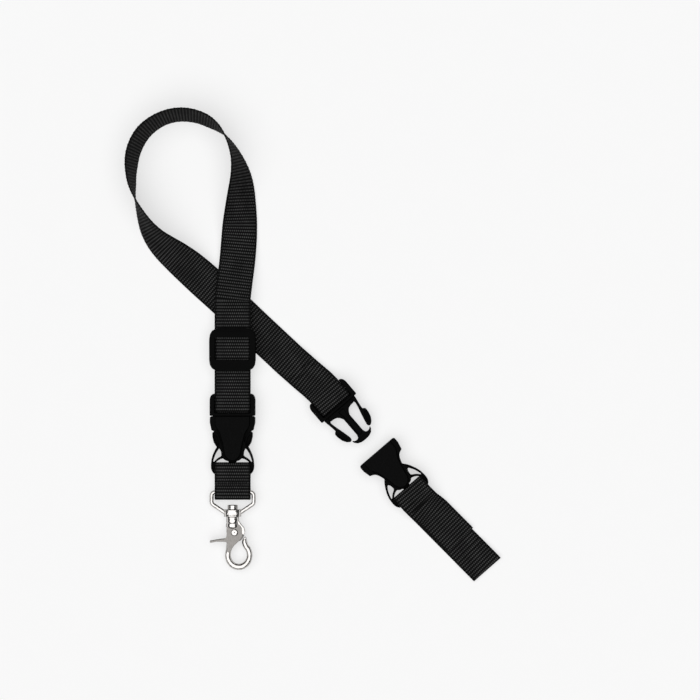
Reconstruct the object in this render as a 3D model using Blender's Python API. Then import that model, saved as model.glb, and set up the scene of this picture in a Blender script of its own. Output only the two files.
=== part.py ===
"""A short 25 mm webbing lanyard: a hand loop with a tri-glide slider, two side-release buckles and a
swivel trigger-snap hook. Sizes and places below are in millimetres and degrees; the mesh builders turn them
into metres. The object lies on Z = 0. Each chain of hardware is drawn in its own frame: the buckle's front
line is Y = 0, the webbing lies towards +Y and the buckle's tip towards -Y, and X is across.
"""

import math

import bmesh
import bpy
from mathutils import Matrix, Vector

MM = 0.001

# Webbing
STRAP_WIDTH = 25.0
STRAP_THICK = 1.3
STRAP_CHAMFER = 0.35
LAYER_GAP = 0.3
GAP = 0.3
ROUTE_STEP = 4.0
DRAWN_FOR_STRAP = 25.0
ACROSS = STRAP_WIDTH / DRAWN_FOR_STRAP

# Where the two chains of hardware lie
LAYOUT_SHIFT = (-0.18, 0.25)
CHAIN_A_AT = (-57.5, -50.4)
CHAIN_B_AT = (18.4, -45.1)
CHAIN_B_TURN = 40.7

# Side-release buckles; their middle plane is the chain's, and their widths follow the strap's
SHELL_HALF_THICK = 4.75
MID_Z = SHELL_HALF_THICK
FRAME_LENGTH = 15.7
FRAME_WIDTH = STRAP_WIDTH + 7.4
FRAME_RAIL = 3.4
BAR_RADIUS = 1.55
BAR_BACK = 5.6
FRONT_WALL = 2.05
FRAME_CORNER = (3.0, 4.6)
ARM_HALF_THICK = 2.4
ARM_LENGTH = 23.3
BARB_STEP = 11.8
BARB_REACH = 14.3
TONGUE_HALF = 2.75
TONGUE_HALF_THICK = 2.0
HEAD_HALF = 8.4
HEAD_FRONT = 28.9

SHELL_HALF_WIDTH = 16.1
CAVITY_HALF_THICK = ARM_HALF_THICK + 0.35
MOUTH_BAND = 10.4
TONGUE_FACE_END = 32.4
RING_HALF_WIDTH = 15.4
RING_BAR_RADIUS = 1.5
RING_BAR_AT = 40.3
RING_BAR_FRONT = 1.0
RING_INNER_HALF = 12.7
FEMALE_B_AT = 40.6

# Short webbing pieces on the D-rings, measured along the chain from the buckle's front line
FOLD_AT = 33.6
POCKET_HALF = RING_BAR_RADIUS + 0.5
LOOP_STITCH_AT = 47.4
LOOP_END_AT = 59.4
TAIL_STITCH_AT = FOLD_AT + 16.0
TAIL_UPPER_END = FOLD_AT + 53.5
TAIL_HEM_START = FOLD_AT + 62.5
TAIL_END = FOLD_AT + 81.7
TAIL_SKEW = math.tan(math.radians(4.1))

# Tri-glide slider, placed by the middle of its length
SLIDER_WIDTH = STRAP_WIDTH + 8.0
SLIDER_LENGTH = 30.7
SLIDER_MIDDLE = 47.15
SLIDER_CORNER = 8.0
SLIDER_RAIL = SLIDER_WIDTH / 2 - STRAP_WIDTH / 2 - 0.4
SLIDER_LIP = 0.2
SLIDER_TOP_BAR = 6.5
SLIDER_LOW_BAR = 8.0
SLIDER_BAR_THICK = 2.0
SLIDER_MID_BAR = (6.0, 1.5)
SLIDER_MID_BAR_AT = 47.9
SEWN_END_LENGTH = 21.5

# Swivel bracket
BRACKET_BAR_AT = 54.4
BRACKET_WIRE = 1.35
BRACKET_HALF = STRAP_WIDTH / 2 + 2.5
BRACKET_SIDE_END = 62.6
COLLAR_START = 66.9
COLLAR_LENGTH = 4.8
COLLAR_HALF_WIDTH = 6.0
COLLAR_HALF_THICK = 4.5
POST_RADIUS = 2.0
POST_HEAD_RADIUS = 3.5
POST_HEAD_LENGTH = 3.0

# Trigger snap hook, drawn about its lever rivet
RIVET_AT = (1.5, -83.0)
HOOK_HALF_THICK = 2.2
NECK_RADIUS = 4.4
NECK_START = COLLAR_START + COLLAR_LENGTH + GAP
BODY_RADIUS = 5.2
RING_CENTRE = (2.8, -16.2)
RING_OUTER = (9.4, 10.4)
RING_OPENING = (6.15, 7.0)
CHEEK_RADIUS = 5.5
CHEEK_THICK = 0.9
CHEEK_GAP = 0.25
TAB_THICK = 1.25
TAB_REACH = 17.6
CHEEK_CENTRE = (-0.3, 1.2)
GATE_RADII = (5.5, 7.1)
RIVET_RADIUS = 1.2
RIVET_HEAD = 2.5
RIVET_HEAD_HEIGHT = 0.9
SPRING_RADIUS = 2.3
SPRING_WIRE = 0.22
SPRING_TURNS = 3

# The loop of the main strap, between the slider and buckle B: X, Y, tilt of the width above the floor in
# degrees, and the height of the strap's lower edge as a share of its height over a buckle's bar.
ROUTE = [
    (-57.5, 32.0, 0, 1.0),
    (-56.0, 45.0, 0, 0.82),
    (-54.2, 60.0, 2, 0.42),
    (-53.0, 75.0, 8, 0.14),
    (-52.5, 84.0, 16, 0.015),
    (-52.0, 93.0, 27, 0),
    (-51.6, 101.0, 36, 0),
    (-51.3, 109.0, 44, 0),
    (-51.4, 117.0, 53, 0),
    (-52.3, 125.0, 63, 0),
    (-54.4, 133.5, 73, 0),
    (-57.8, 141.5, 81, 0),
    (-61.9, 148.2, 88, 0),
    (-67.2, 153.8, 97, 0),
    (-73.8, 158.3, 104, 0),
    (-81.3, 161.6, 106, 0),
    (-89.6, 163.3, 107, 0),
    (-98.2, 163.1, 107, 0),
    (-106.6, 160.8, 107, 0),
    (-114.1, 156.6, 108, 0),
    (-120.4, 151.0, 109, 0),
    (-125.0, 143.9, 109, 0),
    (-127.9, 136.3, 108, 0),
    (-129.1, 128.6, 106, 0),
    (-129.3, 121.3, 102, 0),
    (-128.7, 114.3, 98, 0),
    (-127.5, 107.5, 91, 0),
    (-125.6, 101.0, 84, 0),
    (-123.2, 94.9, 77, 0),
    (-120.3, 88.4, 69, 0),
    (-116.6, 81.7, 60, 0),
    (-111.6, 75.2, 51, 0),
    (-104.8, 68.8, 40, 0),
    (-96.6, 62.2, 28, 0),
    (-87.5, 54.6, 15, 0),
    (-77.0, 45.2, 4, 0),
    (-62.5, 32.1, 0, 0),
    (-42.5, 13.0, 0, 0),
    (-24.0, -4.3, 0, 0),
]
# Where the strap bends sideways into buckle B, in chain B's frame: X across, Y back from the front line; and
# its lower edge there, as a share of the way from lying on one layer (0) to passing over the bar (1)
LEAD_IN_B = [(-4.6, 50.0), (-3.5, 42.0), (-2.4, 34.0), (-1.1, 26.0), (-0.2, 19.0), (0.0, 15.0)]
LEAD_IN_B_LIFTS = [-0.08, 0.0, 0.0, 0.16, 0.66, 0.94]
RETURN_B_COUNT = 4


# ---------------------------------------------------------------- outlines


def arc(centre, radius, start, end, count=8):
    """Points of an arc about centre; radius is one number, or a pair for an ellipse."""
    rx, ry = radius if isinstance(radius, tuple) else (radius, radius)
    angles = [math.radians(start + (end - start) * i / count) for i in range(count + 1)]
    return [(centre[0] + rx * math.cos(a), centre[1] + ry * math.sin(a)) for a in angles]


def mirrored(half):
    """A closed outline from its right half, listed from one end of the axis to the other."""
    left = [(-x, y) for x, y in reversed(half) if abs(x) > 1e-6]
    return half + left


def filleted(corners, count=4):
    """A closed outline from (x, y, radius) corners, each rounded by an arc of that radius."""
    points = []
    for i, (x, y, radius) in enumerate(corners):
        here = Vector((x, y))
        before = Vector(corners[i - 1][:2]) - here
        after = Vector(corners[(i + 1) % len(corners)][:2]) - here
        if radius <= 0:
            points.append((x, y))
            continue
        half = before.angle(after) / 2
        run = min(radius / math.tan(half), before.length * 0.49, after.length * 0.49)
        start = here + before.normalized() * run
        end = here + after.normalized() * run
        for j in range(count + 1):
            s = j / count
            point = start * (1 - s) ** 2 + here * 2 * s * (1 - s) + end * s**2
            points.append((point.x, point.y))
    return points


def across(points):
    """A buckle's outline, drawn for one width of strap, spread to suit this one."""
    return [(x * ACROSS, y) for x, y in points]


def rectangle(x0, x1, y0, y1, radius=0.0):
    return filleted([(x0, y0, radius), (x1, y0, radius), (x1, y1, radius), (x0, y1, radius)])


def catmull_rom(a, b, c, d, s):
    return 0.5 * (2 * b + (c - a) * s + (2 * a - 5 * b + 4 * c - d) * s**2 + (3 * b - a - 3 * c + d) * s**3)


def smooth_rows(rows, step):
    """Rows of numbers read from a Catmull-Rom curve through the given rows, a point about every step."""
    found = []
    last = len(rows) - 1
    for i in range(last):
        p0, p1, p2, p3 = rows[max(i - 1, 0)], rows[i], rows[i + 1], rows[min(i + 2, last)]
        pieces = max(1, round(math.dist(p1[:2], p2[:2]) / step))
        for j in range(pieces):
            s = j / pieces
            found.append(tuple(catmull_rom(*values, s) for values in zip(p0, p1, p2, p3)))
    found.append(tuple(rows[-1]))
    return found


# ---------------------------------------------------------------- meshes


def new_object(name, mesh_builder, helper=False):
    """An object from a bmesh in millimetres."""
    bm = bmesh.new()
    mesh_builder(bm)
    bmesh.ops.recalc_face_normals(bm, faces=bm.faces)
    if bm.calc_volume(signed=True) < 0:
        bmesh.ops.reverse_faces(bm, faces=bm.faces)
    bmesh.ops.scale(bm, vec=(MM, MM, MM), verts=bm.verts)
    mesh = bpy.data.meshes.new(name)
    bm.to_mesh(mesh)
    bm.free()
    obj = bpy.data.objects.new(name, mesh)
    bpy.context.scene.collection.objects.link(obj)
    if helper:
        obj.hide_render = True
        obj.display_type = "WIRE"
    return obj


def extrude_outline(bm, outline, holes, low, high, place=None):
    """Fills an outline with holes, extrudes it from low to high and lays it out with place(x, y, z)."""
    edges = []
    for loop in [outline, *holes]:
        verts = [bm.verts.new((x, y, low)) for x, y in loop]
        edges += [bm.edges.new((verts[i - 1], verts[i])) for i in range(len(verts))]
    filled = bmesh.ops.triangle_fill(bm, use_beauty=True, use_dissolve=False, edges=edges)
    faces = [item for item in filled["geom"] if isinstance(item, bmesh.types.BMFace)]
    raised = bmesh.ops.extrude_face_region(bm, geom=faces)["geom"]
    top = [item for item in raised if isinstance(item, bmesh.types.BMVert)]
    bmesh.ops.translate(bm, vec=(0, 0, high - low), verts=top)
    if place:
        for vert in bm.verts:
            vert.co = place(*vert.co)


def plate(name, outline, low, high, holes=(), helper=False):
    """A flat piece: the outline in X and Y, standing from low to high in Z."""
    return new_object(name, lambda bm: extrude_outline(bm, outline, holes, low, high), helper)


def profile(name, outline, half_width, holes=(), helper=False, shift=None):
    """A piece with one side view: the outline in Y and Z, extruded across X; shift(y) moves it in X and Z."""

    def place(y, z, x):
        dx, dz = shift(y) if shift else (0, 0)
        return (x + dx, y, z + dz)

    return new_object(
        name, lambda bm: extrude_outline(bm, outline, holes, -half_width, half_width, place), helper
    )


def cylinder(name, radius, low, high, at=(0, 0), along="Z", sides=24, helper=True, squeeze=1.0):
    """A cylinder along Z at (x, y), along Y at (x, z), or along X at (y, z)."""
    turn = {
        "Z": lambda a, b, c: (a, b, c),
        "Y": lambda a, b, c: (a, c, b),
        "X": lambda a, b, c: (c, a, b),
    }[along]
    circle = arc(at, (radius, radius * squeeze), 0, 360, sides)[:-1]
    return new_object(name, lambda bm: extrude_outline(bm, circle, [], low, high, turn), helper)


def sweep(bm, centres, sections, closed):
    """Skins rings of points; sections[i] holds the offsets of ring i from centres[i]."""
    rings = []
    for centre, section in zip(centres, sections):
        rings.append([bm.verts.new(centre + offset) for offset in section])
    count = len(rings[0])
    pairs = list(zip(rings, rings[1:])) + ([(rings[-1], rings[0])] if closed else [])
    for first, second in pairs:
        for i in range(count):
            bm.faces.new((first[i - 1], first[i], second[i], second[i - 1]))
    if not closed:
        bm.faces.new(rings[0])
        bm.faces.new(rings[-1])


def tube(name, points, radius, closed=False, sides=12, helper=False):
    """A round wire through points that lie near one XY plane."""
    path = [Vector(point) for point in points]

    def build(bm):
        sections = []
        for i, here in enumerate(path):
            before = path[i - 1] if closed or i else here
            after = path[(i + 1) % len(path)] if closed or i < len(path) - 1 else here
            along = (after - before).normalized()
            side = along.cross(Vector((0, 0, 1))).normalized()
            rise = side.cross(along).normalized()
            turn = [2 * math.pi * k / sides for k in range(sides)]
            sections.append([side * radius * math.cos(a) + rise * radius * math.sin(a) for a in turn])
        sweep(bm, path, sections, closed)

    return new_object(name, build, helper)


def ribbon(name, stations, helper=False):
    """Webbing along stations of (centre, direction of the width)."""
    centres = [Vector(centre) for centre, _ in stations]
    half, thick = STRAP_WIDTH / 2, STRAP_THICK / 2
    cut = STRAP_CHAMFER
    corner = [(half, thick - cut), (half - cut, thick)]
    section = corner + [(-a, b) for a, b in reversed(corner)]
    section += [(-a, -b) for a, b in section]

    def build(bm):
        rings = []
        for i, (_, width) in enumerate(stations):
            along = (centres[min(i + 1, len(centres) - 1)] - centres[max(i - 1, 0)]).normalized()
            width = Vector(width)
            width = (width - along * width.dot(along)).normalized()
            face = along.cross(width)
            rings.append([width * a + face * b for a, b in section])
        sweep(bm, centres, rings, closed=False)

    return new_object(name, build, helper)


def combine(obj, operation, *others):
    for other in others:
        other.hide_render = True
        other.display_type = "WIRE"
        modifier = obj.modifiers.new(operation.lower() + "_" + other.name, "BOOLEAN")
        modifier.operation = operation
        modifier.object = other
        modifier.solver = "EXACT"


# ---------------------------------------------------------------- frames, joints and materials


def chain_frame(at, turn=0.0):
    """The matrix, in millimetres, from a chain's own frame to the object's."""
    x, y = at[0] + LAYOUT_SHIFT[0], at[1] + LAYOUT_SHIFT[1]
    return Matrix.Translation((x, y, 0)) @ Matrix.Rotation(math.radians(turn), 4, "Z")


CHAIN_A = chain_frame(CHAIN_A_AT)
CHAIN_B = chain_frame(CHAIN_B_AT, CHAIN_B_TURN)
WHOLE = chain_frame((0, 0))
AXES = {}


def axis_empty(name, frame, at, parent=None):
    """An empty on a joint's axis, in the frame's millimetres, under its parent joint's empty."""
    empty = bpy.data.objects.new(name, None)
    empty.empty_display_size = 5 * MM
    bpy.context.scene.collection.objects.link(empty)
    world = frame @ Matrix.Translation(at)
    AXES[name] = world
    if parent:
        empty.parent = bpy.data.objects[parent]
        world = AXES[parent].inverted() @ world
    empty.matrix_basis = in_metres(world)
    return empty


def in_metres(matrix):
    found = matrix.copy()
    found.translation = found.translation * MM
    return found


def hang(obj, axis, frame):
    """Puts a piece drawn in a chain's frame under a joint's empty, with its helpers."""
    obj.parent = bpy.data.objects[axis]
    obj.matrix_basis = in_metres(AXES[axis].inverted() @ frame)
    for modifier in obj.modifiers:
        if modifier.object.parent is None:
            hang(modifier.object, axis, frame)


def make_material(name, colour, roughness, metallic=0.0):
    material = bpy.data.materials.new(name)
    material.use_nodes = True
    shader = material.node_tree.nodes["Principled BSDF"]
    shader.inputs["Base Color"].default_value = (*colour, 1)
    shader.inputs["Roughness"].default_value = roughness
    shader.inputs["Metallic"].default_value = metallic
    material.diffuse_color = (*colour, 1)
    return material


def finish(obj, material, axis, frame, smooth=30):
    obj.data.materials.append(material)
    obj.data.shade_smooth()
    obj.data.set_sharp_from_angle(angle=math.radians(smooth))
    hang(obj, axis, frame)
    return obj


# ---------------------------------------------------------------- webbing


def wrap(frame, y, rise, turn):
    """Stations round a bar at y, from its top layer to its bottom layer if turn is 1, the other way if -1."""
    width = frame.to_3x3() @ Vector((1, 0, 0))
    angles = [math.radians(90 - 180 * i / 12) for i in range(13)]
    around = [Vector((0, y - rise * math.cos(a), MID_Z + rise * math.sin(a))) for a in angles]
    return [(frame @ centre, width) for centre in around][::turn]


def tilted(x, y, tilt, lift, heading):
    """A station of the loop, its lower edge lifted above the floor and its width tilted about the heading."""
    left = Vector((-heading.y, heading.x, 0))
    width = left * math.cos(tilt) + Vector((0, 0, 1)) * math.sin(tilt)
    z = max(lift, 0) + abs(math.sin(tilt)) * STRAP_WIDTH / 2 + abs(math.cos(tilt)) * STRAP_THICK / 2
    return (Vector((x, y, z)), width)


LAYER_RISE = BAR_RADIUS + LAYER_GAP + STRAP_THICK / 2
UNDER_A_END = 8.6
OVER_BAR = MID_Z + LAYER_RISE - STRAP_THICK / 2
OVER_LAYER = STRAP_THICK + LAYER_GAP


def lead_in_b():
    """The strap's way into buckle B: the upper run's stations, and those of the sewn return under it."""
    width = CHAIN_B.to_3x3() @ Vector((1, 0, 0))
    upper = [
        (CHAIN_B @ Vector((x, y, OVER_LAYER + lift * (OVER_BAR - OVER_LAYER) + STRAP_THICK / 2)), width)
        for (x, y), lift in zip(LEAD_IN_B, LEAD_IN_B_LIFTS)
    ]
    low = STRAP_THICK / 2
    under_z = [low, low, low + 0.1, low + 0.9]
    under = [
        (CHAIN_B @ Vector((x, y, z)), width)
        for (x, y), z in zip(LEAD_IN_B[1 : 1 + RETURN_B_COUNT], under_z)
    ]
    return upper, under[::-1]


def smooth_stations(stations, step):
    rows = smooth_rows([(*centre, *width) for centre, width in stations], step)
    lowest = STRAP_THICK / 2 + 0.04
    return [(Vector((row[0], row[1], max(row[2], lowest))), Vector(row[3:])) for row in rows]


def main_strap_stations():
    start = CHAIN_A @ Vector((0, UNDER_A_END, MID_Z - LAYER_RISE))
    left_a = Vector((-1, 0, 0))
    stations = [(start, left_a)]
    stations += [(centre, left_a) for centre, _ in wrap(CHAIN_A, BAR_BACK, LAYER_RISE, -1)]
    rows = smooth_rows(ROUTE, ROUTE_STEP)
    flat_run = [(Vector((x + LAYOUT_SHIFT[0], y + LAYOUT_SHIFT[1])), t, lift) for x, y, t, lift in rows]
    loop = []
    for i, (here, tilt, lift) in enumerate(flat_run):
        heading = (flat_run[min(i + 1, len(rows) - 1)][0] - flat_run[max(i - 1, 0)][0]).normalized()
        loop.append(tilted(here.x, here.y, math.radians(tilt), lift * OVER_BAR, heading))
    upper, under = lead_in_b()
    around = wrap(CHAIN_B, BAR_BACK, LAYER_RISE, 1)
    joined = smooth_stations([loop[-2], loop[-1], *upper, around[0]], ROUTE_STEP)
    stations += loop[:-2]
    stations += joined[:-1]
    stations += around
    stations += smooth_stations([around[-1], *under], ROUTE_STEP)[1:]
    return stations


def make_main_strap(webbing):
    strap = ribbon("main_strap", main_strap_stations())
    finish(strap, webbing, "lanyard", Matrix.Identity(4))


def straight_ribbon(name, frame, points):
    """A ribbon through (y, z) points of a chain's middle plane."""
    return ribbon(name, [(Vector((0, y, z)), Vector((-1, 0, 0))) for y, z in points])


def make_slider(webbing, plastic):
    """The tri-glide, the strap end sewn round its middle bar, and the layer that feeds it."""
    strap_top = MID_Z + LAYER_RISE + STRAP_THICK / 2
    top = strap_top + GAP + SLIDER_BAR_THICK
    mid_length, mid_thick = SLIDER_MID_BAR
    bar_reach = mid_length / 2
    mid_low = MID_Z - BAR_RADIUS
    half, reach = SLIDER_WIDTH / 2, SLIDER_LENGTH / 2
    slot = half - SLIDER_RAIL
    window = STRAP_WIDTH / 2 - SLIDER_LIP
    middle = SLIDER_MIDDLE
    body = plate(
        "slider_frame", rectangle(-half, half, middle - reach, middle + reach, SLIDER_CORNER), mid_low, top
    )
    channel = plate(
        "slider_channel",
        rectangle(-slot, slot, middle - reach - 5, middle + reach + 5),
        mid_low - 5,
        strap_top + GAP,
    )
    window = plate(
        "slider_window",
        rectangle(-window, window, middle - reach + SLIDER_LOW_BAR, middle + reach - SLIDER_TOP_BAR, 1.2),
        mid_low - 5,
        top + 5,
    )
    bar = plate(
        "slider_bar",
        rectangle(-slot - 1, slot + 1, SLIDER_MID_BAR_AT - bar_reach, SLIDER_MID_BAR_AT + bar_reach),
        mid_low,
        mid_low + mid_thick,
    )
    combine(body, "DIFFERENCE", channel, window)
    combine(body, "UNION", bar)
    finish(body, plastic, "slider_axis", CHAIN_A)

    rise = mid_thick / 2 + LAYER_GAP + STRAP_THICK / 2
    centre_z = mid_low + mid_thick / 2
    turn_y = SLIDER_MID_BAR_AT + bar_reach - 0.15
    low_z, high_z = centre_z - rise, centre_z + rise
    end_y = SLIDER_MID_BAR_AT - SEWN_END_LENGTH
    sewn_z = low_z + STRAP_THICK + LAYER_GAP
    points = [(end_y, low_z), (end_y + 6, low_z), (end_y + 12, low_z), (turn_y - 4, low_z)]
    points += [(y, z) for y, z in arc((turn_y, centre_z), rise, -90, 90, 10)]
    points += [(turn_y - 4, high_z), (end_y + 12, high_z - 0.3), (end_y + 7, sewn_z), (end_y, sewn_z)]
    sewn = straight_ribbon("slider_sewn_end", CHAIN_A, points)
    finish(sewn, webbing, "slider_axis", CHAIN_A)
    layer_z = MID_Z - LAYER_RISE
    layer = straight_ribbon(
        "slider_feed_webbing",
        CHAIN_A,
        [(UNDER_A_END + GAP, layer_z), (UNDER_A_END + 8, layer_z), (end_y - GAP, layer_z)],
    )
    finish(layer, webbing, "lanyard", CHAIN_A)


def pocket_hole(start, flat, tip):
    """A sewn pocket's hole, in Y and Z: round at start, of full height as far as flat, then down to tip."""
    way = -1 if tip < start else 1
    turn = arc((start + way * POCKET_HALF, MID_Z), POCKET_HALF, 90 * way, 90 * way + 180, 10)
    return [*turn, (flat, MID_Z - POCKET_HALF * way), (tip, MID_Z), (flat, MID_Z + POCKET_HALF * way)]


def pocket_top(start):
    """The upper outline of a pocket's round end, from the tip over to its full height."""
    outer = POCKET_HALF + STRAP_THICK
    return arc((start - outer, MID_Z), outer, 0, 90, 8)


def make_loop_a(webbing):
    """The short sewn loop between the D-ring and the bracket."""
    outer = POCKET_HALF + STRAP_THICK
    upper = pocket_top(-FOLD_AT)
    upper += [(-RING_BAR_AT - 1.6, MID_Z + outer), (-LOOP_STITCH_AT + 1.0, MID_Z + STRAP_THICK)]
    upper += [(-LOOP_STITCH_AT - 1.0, MID_Z + STRAP_THICK), (-BRACKET_BAR_AT + 2.0, MID_Z + outer)]
    upper += arc((-LOOP_END_AT + outer, MID_Z), outer, 90, 180, 8)
    lower = [(y, 2 * MID_Z - z) for y, z in reversed(upper[1:-1])]
    holes = [
        pocket_hole(-FOLD_AT - STRAP_THICK, -RING_BAR_AT - 1.2, -LOOP_STITCH_AT + 2.4),
        pocket_hole(-LOOP_END_AT + STRAP_THICK, -BRACKET_BAR_AT + 1.3, -LOOP_STITCH_AT - 2.4),
    ]
    loop = profile("short_loop_a", upper + lower, STRAP_WIDTH / 2, holes)
    finish(loop, webbing, "loop_a_axis", CHAIN_A, smooth=50)


def make_tail_b(webbing):
    """The folded and sewn tail on buckle B's D-ring; it runs down to the floor past its stitch line."""
    outer = POCKET_HALF + STRAP_THICK
    floor_drop = MID_Z - STRAP_THICK

    def shift(y):
        s = min(max((-y - TAIL_STITCH_AT + 3) / 14, 0), 1)
        skew = max(-y - RING_BAR_AT - 4, 0) * TAIL_SKEW
        return skew, -floor_drop * s * s * (3 - 2 * s)

    low, mid, high = MID_Z - STRAP_THICK, MID_Z, MID_Z + STRAP_THICK
    sewn = [-TAIL_STITCH_AT - 2 * i for i in range(0, 8)]
    upper = pocket_top(-FOLD_AT)
    upper += [(-RING_BAR_AT - 2.4, MID_Z + outer), (-TAIL_STITCH_AT + 1.5, high)]
    upper += [(y, high) for y in sewn]
    upper += [(-TAIL_UPPER_END, high), (-TAIL_UPPER_END, mid), (-TAIL_HEM_START, mid)]
    upper += [(-TAIL_HEM_START - 1.0, high), (-TAIL_END + 1.0, high)]
    upper += [(-TAIL_END, mid), (-TAIL_END + 0.6, low)]
    lower = [(-TAIL_UPPER_END, low)]
    lower += [(y, low) for y in reversed(sewn)]
    lower += [(-TAIL_STITCH_AT + 1.5, low), (-RING_BAR_AT - 2.4, MID_Z - outer)]
    lower += [(y, 2 * MID_Z - z) for y, z in reversed(pocket_top(-FOLD_AT)[1:])]
    holes = [pocket_hole(-FOLD_AT - STRAP_THICK, -RING_BAR_AT - 1.2, -TAIL_STITCH_AT + 2.9)]
    tail = profile("tail_webbing_b", upper + lower, STRAP_WIDTH / 2, holes, shift=shift)
    finish(tail, webbing, "tail_b_axis", CHAIN_B @ Matrix.Translation((0, -FEMALE_B_AT, 0)), smooth=50)


# ---------------------------------------------------------------- buckles


def make_male(letter, plastic, frame):
    """Frame with webbing bar and centre tongue, and the two spring arms, of one male half."""
    prefix = "male_" + letter
    axis = prefix + "_axis"
    low, high = MID_Z - SHELL_HALF_THICK, MID_Z + SHELL_HALF_THICK
    half = FRAME_WIDTH / 2
    inner = half - FRAME_RAIL
    wide, long = FRAME_CORNER
    back = arc((half - wide, FRAME_LENGTH - long), FRAME_CORNER, 0, 85, 6)
    corners = [(half, 0, 0.8), *((x, y, 0) for x, y in back)]
    corners += [(inner, FRAME_LENGTH, 0.4), (inner, FRONT_WALL, 0.6)]
    corners += [(-x, y, radius) for x, y, radius in reversed(corners)]
    body = plate(prefix + "_frame", filleted(corners), low, high)
    bar = cylinder(prefix + "_bar", BAR_RADIUS, -half + 1.5, half - 1.5, (BAR_BACK, MID_Z), "X")
    right = [(11.0, 0.8), (11.0, -1.2), (10.2, -1.9), (7.8, -2.1), (5.4, -2.9), (3.6, -4.7)]
    right += [(TONGUE_HALF, -7.2), (TONGUE_HALF, -22.5)]
    right += [(3.4, -24.6), (4.8, -25.3), (6.6, -25.0), (HEAD_HALF - 0.5, -23.9), (HEAD_HALF, -24.0)]
    right += [(7.9, -25.6), (6.2, -27.6), (3.6, -HEAD_FRONT + 0.3), (1.5, -HEAD_FRONT)]
    tongue = plate(
        prefix + "_tongue",
        mirrored(across(right)),
        MID_Z - TONGUE_HALF_THICK,
        MID_Z + TONGUE_HALF_THICK,
    )
    combine(body, "UNION", bar, tongue)
    finish(body, plastic, axis, frame)
    outline = [(13.9, -GAP), (13.2, -5.0), (12.6, -9.0), (12.5, -10.8), (13.4, -BARB_STEP + 0.5)]
    outline += [(BARB_REACH - 0.3, -BARB_STEP - 0.1), (BARB_REACH, -BARB_STEP - 0.6), (14.2, -15.0)]
    outline += [(13.3, -18.8), (11.6, -21.6), (9.9, -ARM_LENGTH + 0.3), (8.9, -ARM_LENGTH), (8.0, -22.8)]
    outline += [(7.6, -21.6), (7.9, -19.5), (8.7, -16.2), (9.6, -12.6), (10.7, -8.6)]
    outline += [(11.5, -4.6), (11.9, -GAP)]
    for side, sign in (("left", -1), ("right", 1)):
        arm = plate(
            f"{prefix}_{side}_arm",
            [(sign * x, y) for x, y in across(outline)],
            MID_Z - ARM_HALF_THICK,
            MID_Z + ARM_HALF_THICK,
        )
        finish(arm, plastic, f"{prefix}_{side}_arm_axis", frame)


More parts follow.
